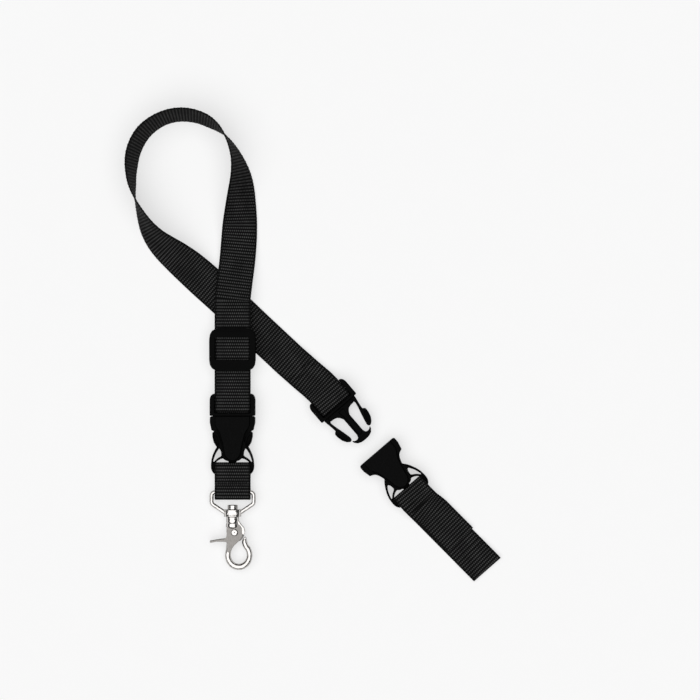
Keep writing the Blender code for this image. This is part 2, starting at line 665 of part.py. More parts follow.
def make_female(letter, plastic, frame):
    """The shell with its D-ring: mouth band, open sides for the arm buttons, raised tongue and ring."""
    name = f"female_{letter}_body"
    low, high = MID_Z - SHELL_HALF_THICK, MID_Z + SHELL_HALF_THICK
    right = [(SHELL_HALF_WIDTH - 1.2, -GAP), (SHELL_HALF_WIDTH - 0.3, -GAP - 0.4), (SHELL_HALF_WIDTH, -1.4)]
    right += [(SHELL_HALF_WIDTH, -5.0), (15.3, -8.2), (15.0, -MOUTH_BAND + 0.5), (14.4, -MOUTH_BAND)]
    right += [(12.6, -11.0), (11.0, -12.2), (9.9, -14.0), (9.0, -16.4), (8.3, -18.8), (8.1, -24.0)]
    right += [(7.9, -28.0), (6.9, -30.0), (5.2, -31.5)]
    right += [(2.8, -TONGUE_FACE_END + 0.1), (0.0, -TONGUE_FACE_END)]
    body = plate(name, mirrored(across([(0.0, -GAP), *right])), low, high)

    wire = [(7.0, -17.0), (8.45, -18.5), (10.6, -21.2), (12.4, -24.2), (14.0, -27.6), (15.0, -31.0)]
    wire += [(RING_HALF_WIDTH, -35.0), (RING_HALF_WIDTH - 0.1, -37.6), (14.6, -39.6), (13.6, -41.0)]
    wire += [(12.2, -RING_BAR_AT - RING_BAR_RADIUS + 0.05), (11.0, -RING_BAR_AT - RING_BAR_RADIUS)]
    inner = [(0.0, -33.2), (2.6, -33.0), (3.4, -31.8), (4.7, -30.7), (6.5, -30.3), (8.4, -30.7)]
    inner += [(10.2, -31.7), (11.6, -32.9), (RING_INNER_HALF, -33.3)]
    inner += [(RING_INNER_HALF, -RING_BAR_AT + RING_BAR_FRONT)]
    opening = [(9.4, -23.0), (10.4, -24.2), (11.9, -26.6), (13.0, -29.4), (13.8, -32.2), (13.9, -33.4)]
    opening += [(13.2, -32.7), (12.0, -31.3), (10.4, -30.0), (8.8, -29.1), (7.9, -28.3), (7.9, -26.4), (8.4, -24.6)]
    windows = [mirrored(across(inner))] + [[(sign * x, y) for x, y in across(opening)] for sign in (1, -1)]
    ring = plate(name + "_ring", mirrored(across(wire)), low - 1, high + 1, windows)
    bar_back = -RING_BAR_AT - RING_BAR_RADIUS
    side = [(-14.0, SHELL_HALF_THICK), (-24.5, SHELL_HALF_THICK), (-31.0, 2.6), (-37.0, 2.3)]
    side += [(-RING_BAR_AT + 1.2, 1.5), (-RING_BAR_AT - 0.6, 1.38), (-RING_BAR_AT - 1.2, 0.9)]
    side += [(bar_back - 0.2, 0.4)]
    both = [(y, MID_Z + z) for y, z in side] + [(y, MID_Z - z) for y, z in reversed(side)]
    slope = profile(name + "_ring_side", both, RING_HALF_WIDTH * ACROSS + 3)
    combine(ring, "INTERSECT", slope)
    funnel = [(14.5, 1.0), (14.5, -1.5), (13.1, -9.0), (13.0, -MOUTH_BAND - 0.2), (20.0, -MOUTH_BAND - 0.2)]
    funnel += [(20.0, -24.0), (HEAD_HALF + 0.5, -24.0), (HEAD_HALF + 0.5, -25.6), (7.2, -28.0)]
    funnel += [(4.5, -HEAD_FRONT - 0.4), (2.0, -HEAD_FRONT - 0.5)]
    cavity_low, cavity_high = MID_Z - CAVITY_HALF_THICK, MID_Z + CAVITY_HALF_THICK
    cavity = plate(name + "_cavity", mirrored(across(funnel)), cavity_low, cavity_high)
    combine(body, "UNION", ring)
    combine(body, "DIFFERENCE", cavity)
    finish(body, plastic, f"female_{letter}_axis", frame)


# ---------------------------------------------------------------- bracket and hook


def make_bracket(nickel):
    side, end = BRACKET_HALF, -BRACKET_SIDE_END
    bar, low = -BRACKET_BAR_AT, -COLLAR_START - 2.3
    right = [(side, bar, 2.6), (side, end, 3.0), (5.0, low, 3.0)]
    corners = right + [(-x, y, radius) for x, y, radius in reversed(right)]
    wire = tube(
        "bracket", [(x, y, MID_Z) for x, y in filleted(corners)], BRACKET_WIRE, closed=True, sides=14
    )
    collar_end = COLLAR_START + COLLAR_LENGTH
    collar = cylinder(
        "bracket_collar",
        COLLAR_HALF_WIDTH,
        -collar_end,
        -COLLAR_START,
        (0, MID_Z),
        "Y",
        28,
        squeeze=COLLAR_HALF_THICK / COLLAR_HALF_WIDTH,
    )
    bore_low, bore_high = -collar_end - 2, -COLLAR_START + 2
    bore = cylinder("bracket_bore", POST_RADIUS + GAP, bore_low, bore_high, (0, MID_Z), "Y", 20)
    combine(wire, "UNION", collar)
    combine(wire, "DIFFERENCE", bore)
    finish(wire, nickel, "bracket_axis", CHAIN_A)


def about_rivet(points):
    return [(RIVET_AT[0] + x, RIVET_AT[1] + y) for x, y in points]


def make_hook(nickel):
    """The cast hook with its neck, swivel post and peened head."""
    centre = RING_CENTRE
    outline = [(2.6, 8.6), (4.6, 5.6), (6.6, 3.4), (7.3, 0.6), (7.0, -1.2), (5.0, -1.4)]
    outline += arc((0, 0), BODY_RADIUS, -20, -100, 8)
    outline += [(-1.5, -8.6), (-1.3, -9.6)]
    outline += arc(centre, RING_OPENING, 132, 394, 26)
    outline += [(6.9, -10.9), (5.6, -9.4), (4.8, -8.0), (4.8, -6.9), (5.3, -5.8), (6.1, -4.7), (6.9, -3.6)]
    outline += [(7.5, -3.1), (8.0, -3.7), (8.4, -5.2), (8.9, -7.2)]
    outline += arc(centre, RING_OUTER, 48, -170, 24)
    outline += [(-6.2, -12.0), (-5.6, -6.0), (-5.6, 0.0), (-5.7, 4.0), (-5.2, 8.6)]
    body = plate(
        "hook_body", about_rivet(outline), MID_Z - HOOK_HALF_THICK, MID_Z + HOOK_HALF_THICK
    )
    neck = cylinder("hook_neck", NECK_RADIUS, RIVET_AT[1] + 7.2, -NECK_START, (0, MID_Z), "Y", 24)
    post = cylinder("hook_post", POST_RADIUS, -NECK_START - 1, -COLLAR_START + GAP + 1, (0, MID_Z), "Y", 20)
    head = cylinder(
        "hook_post_head",
        POST_HEAD_RADIUS,
        -COLLAR_START + GAP,
        -COLLAR_START + GAP + POST_HEAD_LENGTH,
        (0, MID_Z),
        "Y",
        20,
    )
    hole = cylinder(
        "hook_rivet_hole", RIVET_RADIUS + GAP, MID_Z - 6, MID_Z + 6, RIVET_AT, sides=18
    )
    room = SPRING_RADIUS + SPRING_WIRE + 0.5
    pocket = plate(
        "hook_spring_pocket",
        about_rivet(arc((0, 0), room, -10, 290, 18) + [(2.4, -BODY_RADIUS - 2), (4.6, -BODY_RADIUS + 0.6)]),
        MID_Z - 1.35,
        MID_Z + 1.35,
    )
    combine(body, "UNION", neck, post, head)
    combine(body, "DIFFERENCE", hole, pocket)
    finish(body, nickel, "hook_swivel_axis", CHAIN_A)


def make_lever(nickel):
    """The trigger: two cheeks over the rivet, joined by the thumb tab and by the gate behind the nose."""
    inside = HOOK_HALF_THICK + CHEEK_GAP
    outside = inside + CHEEK_THICK
    outline = arc(CHEEK_CENTRE, CHEEK_RADIUS, 200, -14, 20)
    outline += [(5.7, -1.6), (5.6, -3.0), (4.4, -4.7), (2.3, -6.8), (-0.6, -9.6), (-2.6, -12.6)]
    outline += [(-3.5, -13.9), (-4.6, -14.2), (-5.5, -13.2), (-5.2, -10.5), (-5.0, -8.4)]
    outline += [(-5.9, -6.7), (-8.8, -6.3)]
    outline += [(-8.8, -4.8), (-6.6, -4.3), (-5.8, -2.8)]
    body = plate("trigger_lever", about_rivet(outline), MID_Z - outside, MID_Z + outside)
    between = plate(
        "lever_between",
        about_rivet([(-7.7, 12), (12, 12), (12, -20), (-7.7, -20)]),
        MID_Z - inside,
        MID_Z + inside,
    )
    top_line = [(-7.9, -4.6), (-9.6, -4.7), (-13.0, -5.2), (-16.4, -5.9), (-TAB_REACH, -5.9)]
    tab_line = [(-7.9, -6.5), *top_line, *((x, y - TAB_THICK) for x, y in reversed(top_line[2:]))]
    tab = plate("lever_tab", about_rivet(tab_line), MID_Z - outside, MID_Z + outside)
    gate_low, gate_high = GATE_RADII
    gate = plate(
        "lever_gate",
        about_rivet(arc((0, 0), gate_high, -19, -60, 6) + arc((0, 0), gate_low, -60, -19, 6)),
        MID_Z - inside - CHEEK_THICK / 2,
        MID_Z + inside + CHEEK_THICK / 2,
    )
    hole = cylinder("lever_rivet_hole", RIVET_RADIUS + GAP, MID_Z - 6, MID_Z + 6, RIVET_AT, sides=18)
    combine(body, "DIFFERENCE", between)
    combine(body, "UNION", tab, gate)
    combine(body, "DIFFERENCE", hole)
    finish(body, nickel, "lever_axis", CHAIN_A)


def make_rivet(nickel):
    """A domed head at both ends of a straight shank, turned about the lever's axis."""
    face = HOOK_HALF_THICK + CHEEK_GAP + CHEEK_THICK + CHEEK_GAP
    dome = [(RIVET_HEAD * math.cos(a), face + RIVET_HEAD_HEIGHT * math.sin(a)) for a in (0, 0.45, 0.9, 1.25)]
    side = [(RIVET_RADIUS, face), *dome]
    turned = [(0, face + RIVET_HEAD_HEIGHT), *reversed(side)]
    turned += [(r, -z) for r, z in side] + [(0, -face - RIVET_HEAD_HEIGHT)]

    def build(bm):
        count = 20
        rings = []
        for radius, z in turned:
            at = arc(RIVET_AT, radius, 0, 360, count)[:-1]
            rings.append([bm.verts.new((x, y, MID_Z + z)) for x, y in at])
        for first, second in zip(rings, rings[1:]):
            for i in range(count):
                bm.faces.new((first[i - 1], first[i], second[i], second[i - 1]))
        bmesh.ops.remove_doubles(bm, verts=bm.verts, dist=1e-4)

    rivet = new_object("lever_rivet", build)
    finish(rivet, nickel, "hook_swivel_axis", CHAIN_A)


def make_spring(steel):
    """A small torsion coil round the rivet, its legs towards the gate."""
    per_turn = 14
    rise = 2.6 * SPRING_WIRE
    count = SPRING_TURNS * per_turn
    points = []
    for i in range(count + 1):
        angle = math.radians(-60) + 2 * math.pi * i / per_turn
        z = MID_Z + rise * (i / per_turn - SPRING_TURNS / 2)
        x = RIVET_AT[0] + SPRING_RADIUS * math.cos(angle)
        points.append((x, RIVET_AT[1] + SPRING_RADIUS * math.sin(angle), z))
    x, y, z = points[-1]
    points.append((x + 1.1, y - 1.3, z))
    spring = tube("trigger_spring", points, SPRING_WIRE, sides=6)
    finish(spring, steel, "hook_swivel_axis", CHAIN_A)


# ---------------------------------------------------------------- the object


def make_axes():
    """One empty for each joint, each under its parent joint's empty."""
    arm_x = 13.0 * ACROSS
    axis_empty("lanyard", WHOLE, (0, 0, 0))
    axis_empty("slider_axis", CHAIN_A, (0, SLIDER_MIDDLE, MID_Z), "lanyard")
    for letter, frame, offset in (("a", CHAIN_A, 0.0), ("b", CHAIN_B, FEMALE_B_AT)):
        male, female = f"male_{letter}_axis", f"female_{letter}_axis"
        axis_empty(male, frame, (0, BAR_BACK, MID_Z), "lanyard")
        for side, sign in (("left", -1), ("right", 1)):
            axis_empty(f"male_{letter}_{side}_arm_axis", frame, (sign * arm_x, 0, MID_Z), male)
        axis_empty(female, frame, (0, -offset, MID_Z), male)
    axis_empty("loop_a_axis", CHAIN_A, (0, -RING_BAR_AT, MID_Z), "female_a_axis")
    axis_empty("tail_b_axis", CHAIN_B, (0, -FEMALE_B_AT - RING_BAR_AT, MID_Z), "female_b_axis")
    axis_empty("bracket_axis", CHAIN_A, (0, -BRACKET_BAR_AT, MID_Z), "loop_a_axis")
    axis_empty("hook_swivel_axis", CHAIN_A, (0, -COLLAR_START, MID_Z), "bracket_axis")
    axis_empty("lever_axis", CHAIN_A, (*RIVET_AT, MID_Z), "hook_swivel_axis")


def main():
    for obj in list(bpy.data.objects):
        bpy.data.objects.remove(obj)
    webbing = make_material("black_webbing", (0.012, 0.012, 0.013), 0.85)
    plastic = make_material("black_acetal", (0.01, 0.01, 0.011), 0.5)
    nickel = make_material("nickel_plate", (0.72, 0.69, 0.65), 0.22, 1.0)
    steel = make_material("spring_steel", (0.45, 0.44, 0.43), 0.35, 1.0)
    make_axes()
    make_main_strap(webbing)
    make_slider(webbing, plastic)
    make_male("a", plastic, CHAIN_A)
    make_male("b", plastic, CHAIN_B)
    make_female("a", plastic, CHAIN_A)
    make_female("b", plastic, CHAIN_B @ Matrix.Translation((0, -FEMALE_B_AT, 0)))
    make_loop_a(webbing)
    make_tail_b(webbing)
    make_bracket(nickel)
    make_hook(nickel)
    make_lever(nickel)
    make_rivet(nickel)
    make_spring(steel)


main()
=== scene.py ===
"""The looks of a 25 mm webbing lanyard with a tri-glide slider, two side-release buckles and a swivel hook.

Every object is in metres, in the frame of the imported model; sizes given in millimetres go through mm().
"""

import math

import bpy
import numpy as np
from mathutils import Matrix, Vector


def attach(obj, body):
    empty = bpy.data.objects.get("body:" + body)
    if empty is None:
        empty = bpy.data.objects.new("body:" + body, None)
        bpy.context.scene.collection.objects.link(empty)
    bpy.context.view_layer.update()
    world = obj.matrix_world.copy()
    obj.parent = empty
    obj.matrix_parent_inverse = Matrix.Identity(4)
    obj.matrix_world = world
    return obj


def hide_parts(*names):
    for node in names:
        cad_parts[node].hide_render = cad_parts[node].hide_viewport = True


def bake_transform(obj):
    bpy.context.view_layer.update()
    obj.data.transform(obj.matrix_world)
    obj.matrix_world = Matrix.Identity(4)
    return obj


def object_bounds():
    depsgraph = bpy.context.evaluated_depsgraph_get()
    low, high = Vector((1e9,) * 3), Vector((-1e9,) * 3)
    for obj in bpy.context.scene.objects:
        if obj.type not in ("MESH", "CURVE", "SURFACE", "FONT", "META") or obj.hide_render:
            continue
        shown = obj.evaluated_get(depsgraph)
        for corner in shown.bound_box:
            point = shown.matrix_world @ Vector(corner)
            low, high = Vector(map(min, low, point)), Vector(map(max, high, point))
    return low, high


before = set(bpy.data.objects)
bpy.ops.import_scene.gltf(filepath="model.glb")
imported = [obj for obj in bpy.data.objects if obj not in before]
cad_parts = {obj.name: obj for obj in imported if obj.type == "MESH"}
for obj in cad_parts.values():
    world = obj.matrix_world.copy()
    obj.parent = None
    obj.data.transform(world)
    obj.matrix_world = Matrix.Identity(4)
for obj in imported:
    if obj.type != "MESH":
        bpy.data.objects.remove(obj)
cad_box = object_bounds()

MM = 0.001


def mm(values):
    """Millimetres to metres, for a number or for rows of numbers."""
    return np.asarray(values, float) * MM


# Webbing: RIB and DOT are the pitches of its ribs and of the bumps along a rib, RELIEF the depth of the
# weave, SELVEDGE the round of its edge, BEAD the edge's swell at each rib as a share of the width, and PROUD
# how far each edge stands out past the CAD strip.
STRAP_WIDTH = 0.025
STRAP_THICK = 0.0013
RIB = 0.0022
DOT = 0.00147
RELIEF = 0.00026
SELVEDGE = 0.0006
BEAD = 0.004
PROUD = 0.00025

# How finely webbing is made: steps along it, points of its flat part across it, steps of the lines that it
# follows, and its least gap to the floor
RING_STEP = 0.00055
COLUMNS = 57
CURVE_STEP = 0.0015
SIDE_STEP = 0.0004
FLOOR_GAP = 0.00004

# Where the two chains of hardware lie, and the heights in them
CHAIN_A_AT = (-0.05768, -0.05015)
CHAIN_B_AT = (0.01822, -0.04485)
CHAIN_B_TURN = 40.7
LAYOUT_SHIFT = (-0.00018, 0.00025)
MID_Z = 0.00475
BAR_BACK = 0.0056
LAYER_RISE = 0.0025
UNDER_A_END = 0.0086
FOLD_SWELL = 0.00062
OVER_BAR = MID_Z + LAYER_RISE - STRAP_THICK / 2
FEMALE_B_AT = 0.0406

# Folds round a D-ring's bar, in mm, and the length of a stitch
FOLD_RISE = 2.65
FOLD_TURN = -36.25
STITCH = 0.0024

# The tail, in mm from its buckle's mouth: where its bar tack is, where its upper layer stops slipping
# sideways by LAYER_SLIP, and where it starts to swing out, by an angle in degrees
TACK_AT = 49.6
UPPER_END = 92
LAYER_SLIP = 0.0011
SWING_FROM = 44.3
TAIL_SWING = 4.1

# Moulded and cast pieces: the grid that their skins are made on, from the buckles to the stamped lever
MOULDED_VOXEL = 0.0003
ARM_VOXEL = 0.00025
BRACKET_VOXEL = 0.0002
HOOK_VOXEL = 0.00018
LEVER_VOXEL = 0.00015

# Places on chain A: the middle of the slider, in metres, and the rivet, in mm
SLIDER_AT = 0.04715
RIVET_AT = (1.5, -83.0)

# The loop of the main strap: X and Y in metres, tilt of the width above the floor in degrees, and the height
# of the strap's lower edge as a share of its height over a buckle's bar.
ROUTE = [
    (-0.0575, 0.032, 0, 1.0),
    (-0.056, 0.045, 0, 0.82),
    (-0.0542, 0.06, 2, 0.42),
    (-0.053, 0.075, 8, 0.14),
    (-0.0525, 0.084, 16, 0.015),
    (-0.052, 0.093, 27, 0),
    (-0.0516, 0.101, 36, 0),
    (-0.0513, 0.109, 44, 0),
    (-0.0514, 0.117, 53, 0),
    (-0.0523, 0.125, 63, 0),
    (-0.0544, 0.1335, 73, 0),
    (-0.0578, 0.1415, 81, 0),
    (-0.0619, 0.1482, 88, 0),
    (-0.0672, 0.1538, 97, 0),
    (-0.0738, 0.1583, 104, 0),
    (-0.0813, 0.1616, 106, 0),
    (-0.0896, 0.1633, 107, 0),
    (-0.0982, 0.1631, 107, 0),
    (-0.1066, 0.1608, 107, 0),
    (-0.1141, 0.1566, 108, 0),
    (-0.1204, 0.151, 109, 0),
    (-0.125, 0.1439, 109, 0),
    (-0.1279, 0.1363, 108, 0),
    (-0.1291, 0.1286, 106, 0),
    (-0.1293, 0.1213, 102, 0),
    (-0.1287, 0.1143, 98, 0),
    (-0.1275, 0.1075, 91, 0),
    (-0.1256, 0.101, 84, 0),
    (-0.1232, 0.0949, 77, 0),
    (-0.1203, 0.0884, 69, 0),
    (-0.1166, 0.0817, 60, 0),
    (-0.1116, 0.0752, 51, 0),
    (-0.1048, 0.0688, 40, 0),
    (-0.0966, 0.0622, 28, 0),
    (-0.0875, 0.0546, 15, 0),
    (-0.077, 0.0452, 4, 0),
    (-0.0625, 0.0321, 0, 0),
    (-0.0425, 0.013, 0, 0),
    (-0.024, -0.0043, 0, 0),
]

# The same strap in the frame of chain B, down onto the bar and back under it: X, Y and height in metres
LEAD_IN_B = [
    (-0.0046, 0.05, 0.0012),
    (-0.0035, 0.042, 0.0016),
    (-0.0024, 0.034, 0.0016),
    (-0.0011, 0.026, 0.0024),
    (-0.0002, 0.019, 0.0049),
    (0.0, 0.015, 0.0063),
]
RETURN_B_HEIGHTS = (0.00155, 0.00075, 0.00065, 0.00065)

# How many of the loop's last rows the curve onto buckle B's bar takes the place of
LEAD_FROM = 14


# ---------------------------------------------------------------- places


def placed(at, turn=0.0):
    """The frame of a chain that lies at a place on the floor, turned by degrees."""
    return Matrix.Translation((at[0], at[1], 0)) @ Matrix.Rotation(math.radians(turn), 4, "Z")


CHAIN_A = placed(CHAIN_A_AT)
CHAIN_B = placed(CHAIN_B_AT, CHAIN_B_TURN)
FEMALE_B = CHAIN_B @ Matrix.Translation((0, -FEMALE_B_AT, 0))


def moved(matrix, points):
    """Rows of points, carried by a matrix."""
    found = np.array(matrix)
    return np.asarray(points, float) @ found[:3, :3].T + found[:3, 3]


def turned(matrix, directions):
    """Rows of directions, turned by a matrix."""
    return np.asarray(directions, float) @ np.array(matrix)[:3, :3].T


def arc(centre, radius, start, end, count):
    """Rows of a flat arc, in degrees."""
    angles = np.radians(np.linspace(start, end, count + 1))
    return np.stack([centre[0] + radius * np.cos(angles), centre[1] + radius * np.sin(angles)], axis=1)


def curve(rows, step):
    """A Catmull-Rom curve through rows of numbers, a point about every step of its first three."""
    rows = np.asarray(rows, float)
    last = len(rows) - 1
    found = []
    for i in range(last):
        p0, p1, p2, p3 = rows[max(i - 1, 0)], rows[i], rows[i + 1], rows[min(i + 2, last)]
        count = max(1, round(np.linalg.norm(p2[:3] - p1[:3]) / step))
        for s in np.arange(count) / count:
            bend = 2 * p0 - 5 * p1 + 4 * p2 - p3
            found.append(0.5 * (2 * p1 + (p2 - p0) * s + bend * s**2 + (3 * p1 - p0 - 3 * p2 + p3) * s**3))
    return np.array([*found, rows[-1]])


def lengths(points):
    """How far along their line each of the points lies."""
    return np.concatenate([[0], np.cumsum(np.linalg.norm(np.diff(points, axis=0), axis=1))])


def evenly(rows, step):
    """The same line as rows, with a point every step of its length."""
    so_far = lengths(rows[:, :3])
    at = np.linspace(0, so_far[-1], max(2, round(so_far[-1] / step)) + 1)
    return np.stack([np.interp(at, so_far, column) for column in rows.T], axis=1), at


def unit(rows):
    """Rows of directions, each made one long."""
    return rows / np.linalg.norm(rows, axis=-1, keepdims=True)


# ---------------------------------------------------------------- materials


class Nodes:
    """A short way to write the nodes of one material."""

    def __init__(self, name):
        self.material = bpy.data.materials.new(name)
        self.material.use_nodes = True
        self.tree = self.material.node_tree
        self.shader = self.tree.nodes["Principled BSDF"]

    def put(self, kind, inputs=(), **settings):
        """A new node, its inputs by name or number and its settings by name."""
        node = self.tree.nodes.new(kind)
        for key, value in settings.items():
            setattr(node, key, value)
        for key, value in dict(inputs).items():
            self.wire(value, node.inputs[key])
        return node

    def wire(self, value, socket):
        """Links another node's output to a socket, or sets the socket to a plain value."""
        if isinstance(value, bpy.types.NodeSocket):
            self.tree.links.new(value, socket)
        else:
            socket.default_value = value

    def math(self, operation, *values):
        return self.put("ShaderNodeMath", enumerate(values), operation=operation).outputs[0]

    def mix(self, share, low, high):
        """A colour between two."""
        node = self.put("ShaderNodeMix", data_type="RGBA")
        for index, value in ((0, share), (6, low), (7, high)):
            self.wire(value, node.inputs[index])
        return node.outputs[2]

    def spread(self, value, low, high, to_low=0.0, to_high=1.0):
        """A value from one range brought to another."""
        found = {0: value, 1: low, 2: high, 3: to_low, 4: to_high}
        return self.put("ShaderNodeMapRange", found).outputs[0]

    def place(self, scale=(1, 1, 1)):
        """The piece's own coordinates in millimetres, stretched by scale."""
        point = self.put("ShaderNodeTexCoord").outputs["Object"]
        size = [value / MM for value in scale]
        return self.put("ShaderNodeMapping", {"Vector": point, "Scale": size}).outputs[0]

    def noise(self, vector, scale, detail=3.0, roughness=0.55):
        found = {"Vector": vector, "Scale": scale, "Detail": detail, "Roughness": roughness}
        return self.put("ShaderNodeTexNoise", found).outputs["Fac"]

    def bump(self, height, distance, strength=1.0):
        """Fine relief of that depth in metres."""
        found = {"Height": height, "Distance": distance, "Strength": strength}
        self.wire(self.put("ShaderNodeBump", found).outputs[0], self.shader.inputs["Normal"])

    def set(self, **values):
        """Sets or links inputs of the material's shader."""
        for key, value in values.items():
            self.wire(value, self.shader.inputs[key.replace("_", " ")])
        return self.material


def grey(value, warm=0.0):
    """A grey, a little towards red if warm is above 0."""
    return (value * (1 + warm), value, value * (1 - warm), 1.0)


# A near-black edge tint for the metals: it darkens their reflections at grazing angles, painted shade on the
# flanks of the wires and the ring.
PAINTED_EDGE_SHADE = grey(0.02)


def webbing_material():
    """Black nylon webbing: painted highlight on the bumps of each rib, painted shade between them, fine
    fibres along.
    """
    n = Nodes("black_nylon_webbing")
    at = n.put("ShaderNodeAttribute", attribute_name="weave_at").outputs["Vector"]
    split = n.put("ShaderNodeSeparateXYZ", {0: at}).outputs
    row = n.math("ROUND", n.math("DIVIDE", split[1], RIB / MM))
    offset = n.math("SUBTRACT", n.math("DIVIDE", split[1], RIB / MM), row)
    rib = n.math("POWER", n.math("COSINE", n.math("MULTIPLY", offset, math.pi)), 2.0)
    half_over = n.math("MULTIPLY", row, math.pi)
    phase = n.math("ADD", n.math("MULTIPLY", split[0], 2 * math.pi * MM / DOT), half_over)
    dot = n.math("MULTIPLY_ADD", n.math("COSINE", phase), 0.5, 0.5)
    top = n.math("MULTIPLY", rib, n.math("MULTIPLY_ADD", dot, 0.78, 0.22))
    fibre_at = n.put("ShaderNodeMapping", {"Vector": at, "Scale": (9.0, 1.2, 1.0)}).outputs[0]
    fibre = n.noise(fibre_at, 1.0, 4.0, 0.7)
    patch_at = n.put("ShaderNodeMapping", {"Vector": at, "Scale": (0.12, 0.05, 1.0)}).outputs[0]
    patch = n.noise(patch_at, 1.0, 2.0)
    edge = n.spread(n.math("ABSOLUTE", split[0]), 10.9, 11.8, 1.0, 0.25)
    # Painted highlight and shade: the colour is paler on the rib tops, fading towards the edges, and dark in
    # the gaps between ribs; the fibre and patch noise vary it at random.
    painted_rib_highlight = n.math("MULTIPLY", n.math("POWER", top, 1.7), edge)
    painted_rib_highlight = n.math("MULTIPLY", painted_rib_highlight, n.spread(fibre, 0.3, 0.7, 0.6, 1.35))
    painted_rib_highlight = n.math("MULTIPLY", painted_rib_highlight, n.spread(patch, 0.3, 0.7, 0.7, 1.25))
    n.bump(n.math("MULTIPLY_ADD", top, 0.7, n.math("MULTIPLY", fibre, 0.3)), 0.00012)
    roughness = n.spread(fibre, 0.2, 0.8, 0.78, 0.62)
    n.set(Specular_IOR_Level=0.03)
    return n.set(Base_Color=n.mix(painted_rib_highlight, grey(0.0022), grey(0.082)), Roughness=roughness)


def thread_material():
    """Black bonded thread, twisted, with a dull fibre."""
    n = Nodes("black_bonded_thread")
    twist = n.put("ShaderNodeTexWave", {"Vector": n.place(), "Scale": 1.6, "Distortion": 1.5})
    fibre = n.noise(n.place(), 2.5)
    n.bump(n.math("ADD", twist.outputs["Fac"], fibre), 0.00008)
    roughness = n.spread(fibre, 0, 1, 0.7, 0.5)
    n.set(Specular_IOR_Level=0.1)
    return n.set(Base_Color=n.mix(fibre, grey(0.0015), grey(0.007)), Roughness=roughness)


def acetal_material(name, grain, dark, pale, rough):
    """Moulded black acetal: grain is the depth of its texture, with softer wear and flow marks over it."""
    n = Nodes(name)
    at = n.place()
    fine = n.noise(at, 1.9, 3.0, 0.6)
    cells = {"Vector": at, "Scale": 1.35, "Randomness": 0.9}
    pits = n.put("ShaderNodeTexVoronoi", cells, feature="SMOOTH_F1")
    wear = n.noise(at, 0.22, 4.0, 0.6)
    height = n.math("ADD", fine, n.math("MULTIPLY", pits.outputs["Distance"], 0.8))
    n.bump(height, grain)
    # Painted shade and highlight: the colour is darker in the grain's pits and paler on its tops, dimmed in
    # patches by the wear noise.
    share = n.math("MULTIPLY", n.spread(height, 0.5, 1.3), n.spread(wear, 0.3, 0.7, 0.55, 1.0))
    roughness = n.spread(wear, 0.3, 0.7, rough, rough + 0.12)
    n.set(Specular_IOR_Level=0.026)
    return n.set(Base_Color=n.mix(share, grey(dark), grey(pale, -0.02)), Roughness=roughness)


def nickel_material():
    """Bright nickel plate over a slightly uneven casting."""
    n = Nodes("bright_nickel_plate")
    at = n.place()
    cast = n.noise(at, 0.28, 2.0)
    scratch = n.noise(n.place((0.5, 3.0, 0.5)), 1.6, 5.0, 0.7)
    n.bump(n.math("ADD", cast, n.math("MULTIPLY", scratch, 0.04)), 0.0005, 0.8)
    tone = n.mix(n.spread(cast, 0.3, 0.7), grey(0.56, 0.035), grey(0.72, 0.03))
    n.set(Metallic=1.0, Specular_Tint=PAINTED_EDGE_SHADE)
    return n.set(Base_Color=tone, Roughness=n.spread(scratch, 0.3, 0.75, 0.08, 0.2))


def brushed_material():
    """Stamped sheet with a satin plate, brushed along the lever."""
    n = Nodes("brushed_nickel_sheet")
    lines = n.noise(n.place((3.2, 0.5, 0.5)), 1.4, 5.0, 0.75)
    cloud = n.noise(n.place(), 0.35, 2.0)
    n.bump(lines, 0.00004, 0.7)
    tone = n.mix(n.spread(lines, 0.3, 0.7), grey(0.17, 0.05), grey(0.29, 0.05))
    n.set(Metallic=1.0, Specular_Tint=PAINTED_EDGE_SHADE)
    return n.set(Base_Color=tone, Roughness=n.spread(cloud, 0.3, 0.7, 0.3, 0.42))


def spring_material():
    """Drawn spring wire, a little darker in its draw lines."""
    n = Nodes("drawn_spring_steel")
    lines = n.noise(n.place((1, 1, 4)), 2.0)
    n.bump(lines, 0.00002)
    n.set(Metallic=1.0)
    return n.set(Base_Color=n.mix(lines, grey(0.25), grey(0.45)), Roughness=n.spread(lines, 0, 1, 0.25, 0.4))


def floor_material():
    """A pale matt table that glows a little, so that shadows on it stay soft."""
    n = Nodes("pale_floor")
    cloud = n.noise(n.place((0.05, 0.05, 0.05)), 1.0)
    n.set(Specular_IOR_Level=0.0, Emission_Color=grey(1.0), Emission_Strength=0.56)
    return n.set(Base_Color=n.mix(cloud, grey(0.415), grey(0.425)), Roughness=0.9)


WEBBING = webbing_material()
THREAD = thread_material()
ACETAL = acetal_material("black_acetal_smooth", 0.00003, 0.0006, 0.002, 0.3)
GRAINED = acetal_material("black_acetal_grained", 0.0001, 0.001, 0.0048, 0.36)
NICKEL = nickel_material()
BRUSHED = brushed_material()
SPRING = spring_material()


# ---------------------------------------------------------------- meshes


def piece(name, points, faces, material, body=None, slot=None, nodes=()):
    """A mesh object from rows of points in metres, riding on a body and standing for its CAD nodes."""
    mesh = bpy.data.meshes.new(name)
    mesh.from_pydata(np.asarray(points, float).tolist(), [], [list(map(int, face)) for face in faces])
    mesh.validate()
    mesh.shade_smooth()
    obj = bpy.data.objects.new(name, mesh)
    bpy.context.scene.collection.objects.link(obj)
    return dressed(obj, material, body, nodes)


def dressed(obj, material, body, nodes=()):
    """Gives a piece its material and body, and hides the CAD nodes that it stands for."""
    if material:
        obj.data.materials.clear()
        obj.data.materials.append(material)
    if body:
        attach(obj, body)
    if nodes:
        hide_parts(*nodes)
    return obj


